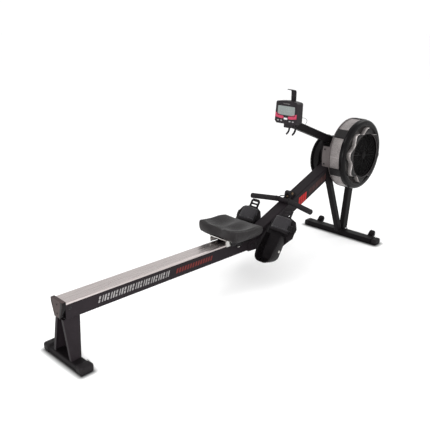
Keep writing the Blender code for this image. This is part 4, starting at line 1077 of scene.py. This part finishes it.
# ---- fasteners, plugs and moulded lines on the frame ----
def make_fittings():
    bm = bmesh.new()
    for side in (1, -1):
        side_turn = turn(-90 * side, "X")
        rail_y = side * 0.0432
        for x, z in ((0.0456, -0.0355), (1.290, -0.060), (1.325, -0.060)):
            add_bolt(bm, RAIL @ at(x, rail_y + (side * 0.0030 if x > 1 else 0), z) @ side_turn, 0.0062, 0.0036)
        add_bolt(bm, BEAM @ at(0.045, side * 0.0462, -0.050) @ side_turn, 0.0062, 0.0036)
        for x, z in ((2.140, 0.480), (2.300, 0.520), (2.430, 0.525), (2.105, 0.620)):
            add_bolt(bm, station(x, z) @ at(0, side * 0.0447, 0) @ side_turn, 0.0065, 0.0038)
    made(bm, "frame_bolts", SCREW, "frame", "zinc")

    bm = bmesh.new()
    for y, z in ((0, -0.020), (0, -0.066)):
        add_bolt(bm, RAIL @ at(0.0040, y, z) @ turn(-90, "Y"), 0.0048, 0.0016, washer=False)
    made(bm, "end_cap_screws", SCREW, "frame", "zinc")

    bm = bmesh.new()  # dark sheets on the sides of the end cap, wrapped a little round its rear face and further round on the right: painted shade of the gap between the cap and the rail
    across = RAIL @ turn(90, "Z") @ turn(90, "X")
    for side, rear_top, rear_low in ((-1, 0.0310, 0.0140), (1, 0.0430, 0.0205)):
        add_prism(bm, [(side * y, z) for y, z in ((0.0481, 0.0030), (0.0487, 0.0030), (0.0487, -0.0162),
                                                  (0.0247, -0.0855), (0.0241, -0.0852), (0.0481, -0.0160))],
                  0.0050, 0.0240, across)
        add_prism(bm, [(side * y, z) for y, z in ((0.0468, 0.0025), (0.0468, -0.0160), (0.0232, -0.0850),
                                                  (rear_low, -0.0850), (rear_top, -0.0160), (rear_top, 0.0025))],
                  0.0034, 0.0044, across)
    made(bm, "end_cap_shade_sheets", SHELL, "frame", "black_plastic")

    # weld beads where the two front legs meet the foot bar
    bm = bmesh.new()
    for x, half_x, half_y in ((2.303, 0.0205, 0.0205), (2.364, 0.0195, 0.0295)):
        loop = [(x - HALF + half_x * a, half_y * b, 0.0385) for a, b in
                ((-1, -0.9), (-0.9, -1), (0.9, -1), (1, -0.9), (1, 0.9), (0.9, 1), (-0.9, 1), (-1, 0.9))]
        add_tube(bm, loop, 0.0022, 8, closed=True)
    made(bm, "weld_beads", PAINT, "frame", "black_paint")

    corners = ((-0.5, 0.35), (-0.42, 0.5), (0.42, 0.5), (0.5, 0.35), (0.5, -0.35), (0.42, -0.5), (-0.42, -0.5),
               (-0.5, -0.35))
    for side, word in SIDES:
        wheel = station(2.404, 0.043) @ at(0, side * 0.2185, 0) @ turn(-90, "X")
        bm = bmesh.new()
        half = 0.0140
        profile = [(0.0040, half - 0.001), (0.0100, half - 0.001), (0.0115, half - 0.0035), (0.0165, half - 0.0035),
                   (0.0180, half), (0.0225, half - 0.0006), (0.0240, half - 0.0030), (0.0240, 0.0050),
                   (0.0232, 0.0040), (0.0232, 0.0022), (0.0240, 0.0012)]
        add_lathe(bm, profile + [(r, -h) for r, h in reversed(profile)], 48)
        made(bm, f"rolling_wheel_{word}", RUBBER, f"wheel_{word}", "rubber", wheel, [f"transport_wheel_{word}"])
        bm = bmesh.new()
        for end in (1, -1):
            add_bolt(bm, wheel @ turn(0 if end > 0 else 180, "X") @ at(0, 0, 0.0195), 0.0055, 0.003)
        made(bm, f"wheel_bolts_{word}", SCREW, "frame", "zinc")
        bm = bmesh.new()  # a moulded line round each foot cap
        for x, y, depth in ((FRONT_FOOT, 0.2560, 0.0725), (REAR_FOOT, 0.1145, 0.0745)):
            height = 0.0405 if x > 1 else 0.0445
            loop = [(x - HALF + depth * a, side * (y + 0.0062), height / 2 + height * b) for a, b in corners]
            add_tube(bm, loop, 0.0009, 6, closed=True)
        made(bm, f"cap_seams_{word}", PLASTIC, "frame", "black_plastic")

    bm = bmesh.new()  # end plug of the display arm
    add_prism(bm, ((-0.021, -0.0175), (0.021, -0.0175), (0.021, 0.0175), (-0.021, 0.0175)), -0.002, 0.0035,
              ARM @ at(-0.0225, 0, 0) @ turn(-90, "Y"))
    made(bm, "arm_plug", PLASTIC, "arm", "black_plastic", bevel=0.001)


make_seat()
make_footrests()
make_fan()
make_handle()
make_prints()
make_display()
make_fittings()


# ---- floor, light and camera ----
def make_stage():
    floor = Graph("pale_floor")
    clouds = floor.noise(1.5)
    tint = floor.mix(clouds, (0.97, 0.97, 0.97, 1), (0.985, 0.985, 0.985, 1))
    spot = floor.add("ShaderNodeSeparateXYZ", {0: floor.place})
    near = 0.036  # painted contact shadow: the floor's colour is darkened this close to each foot
    for x, half_x, half_y in ((REAR_FOOT, 0.030, 0.158), (FRONT_FOOT, 0.028, 0.298)):
        beyond = []
        for across, half in ((floor.maths("SUBTRACT", spot.outputs[0], x - HALF), half_x), (spot.outputs[1], half_y)):
            out = floor.maths("MAXIMUM", floor.maths("SUBTRACT", floor.maths("ABSOLUTE", across), half))
            beyond.append(floor.maths("MULTIPLY", out, out))
        reach = floor.maths("SQRT", floor.maths("ADD", *beyond))
        tint = floor.mix(floor.spread(reach, 1, 0, 0, near), tint, (0.03, 0.03, 0.03, 1))
    floor.put(floor.shader.inputs["Base Color"], tint)
    floor.shader.inputs["Roughness"].default_value = 0.55
    bm = bmesh.new()
    bmesh.ops.create_grid(bm, x_segments=1, y_segments=1, size=30)
    made(bm, "floor", floor.material, None, None, at(0, 0, -0.0004), degrees=180)

    world = bpy.data.worlds.new("studio")
    bpy.context.scene.world = world
    world.use_nodes = True
    world.node_tree.nodes["Background"].inputs["Color"].default_value = (1, 1, 1, 1)
    world.node_tree.nodes["Background"].inputs["Strength"].default_value = 1.04

    for name, spot, aim, size, power in (
        ("key", (-1.6, 0.8, 3.4), (0, 0, 0.3), 1.6, 26),
        ("rear", (-2.1, -1.5, 0.9), (-1.2, 0, 0.25), 0.6, 38),
        ("rim", (3.0, -0.8, 2.8), (0.7, -0.2, 0.0), 1.6, 24),
    ):
        lamp = bpy.data.lights.new(name, "AREA")
        lamp.energy, lamp.size = power, size
        obj = bpy.data.objects.new(name, lamp)
        bpy.context.scene.collection.objects.link(obj)
        obj.location = spot
        obj.rotation_euler = (Vector(aim) - Vector(spot)).to_track_quat("-Z", "Y").to_euler()


def make_camera():
    yaw, pitch, roll = (math.radians(a) for a in (44.6857, -19.8197, 0.0852))
    forward = Vector((math.cos(pitch) * math.cos(yaw), math.cos(pitch) * math.sin(yaw), math.sin(pitch)))
    right = Vector((math.sin(yaw), -math.cos(yaw), 0))
    up = right.cross(forward)
    across = right * math.cos(roll) + up * math.sin(roll)
    over = up * math.cos(roll) - right * math.sin(roll)
    lens = bpy.data.cameras.new("camera")
    lens.sensor_width, lens.lens = 36, 49.26  # millimetres
    camera = bpy.data.objects.new("camera", lens)
    bpy.context.scene.collection.objects.link(camera)
    aimed = Matrix((across, over, -forward)).transposed().to_4x4()
    camera.matrix_world = at(-2.4269, -2.1780, 1.5958) @ aimed
    bpy.context.scene.camera = camera


make_stage()
make_camera()
bpy.context.scene.view_settings.view_transform = "Standard"
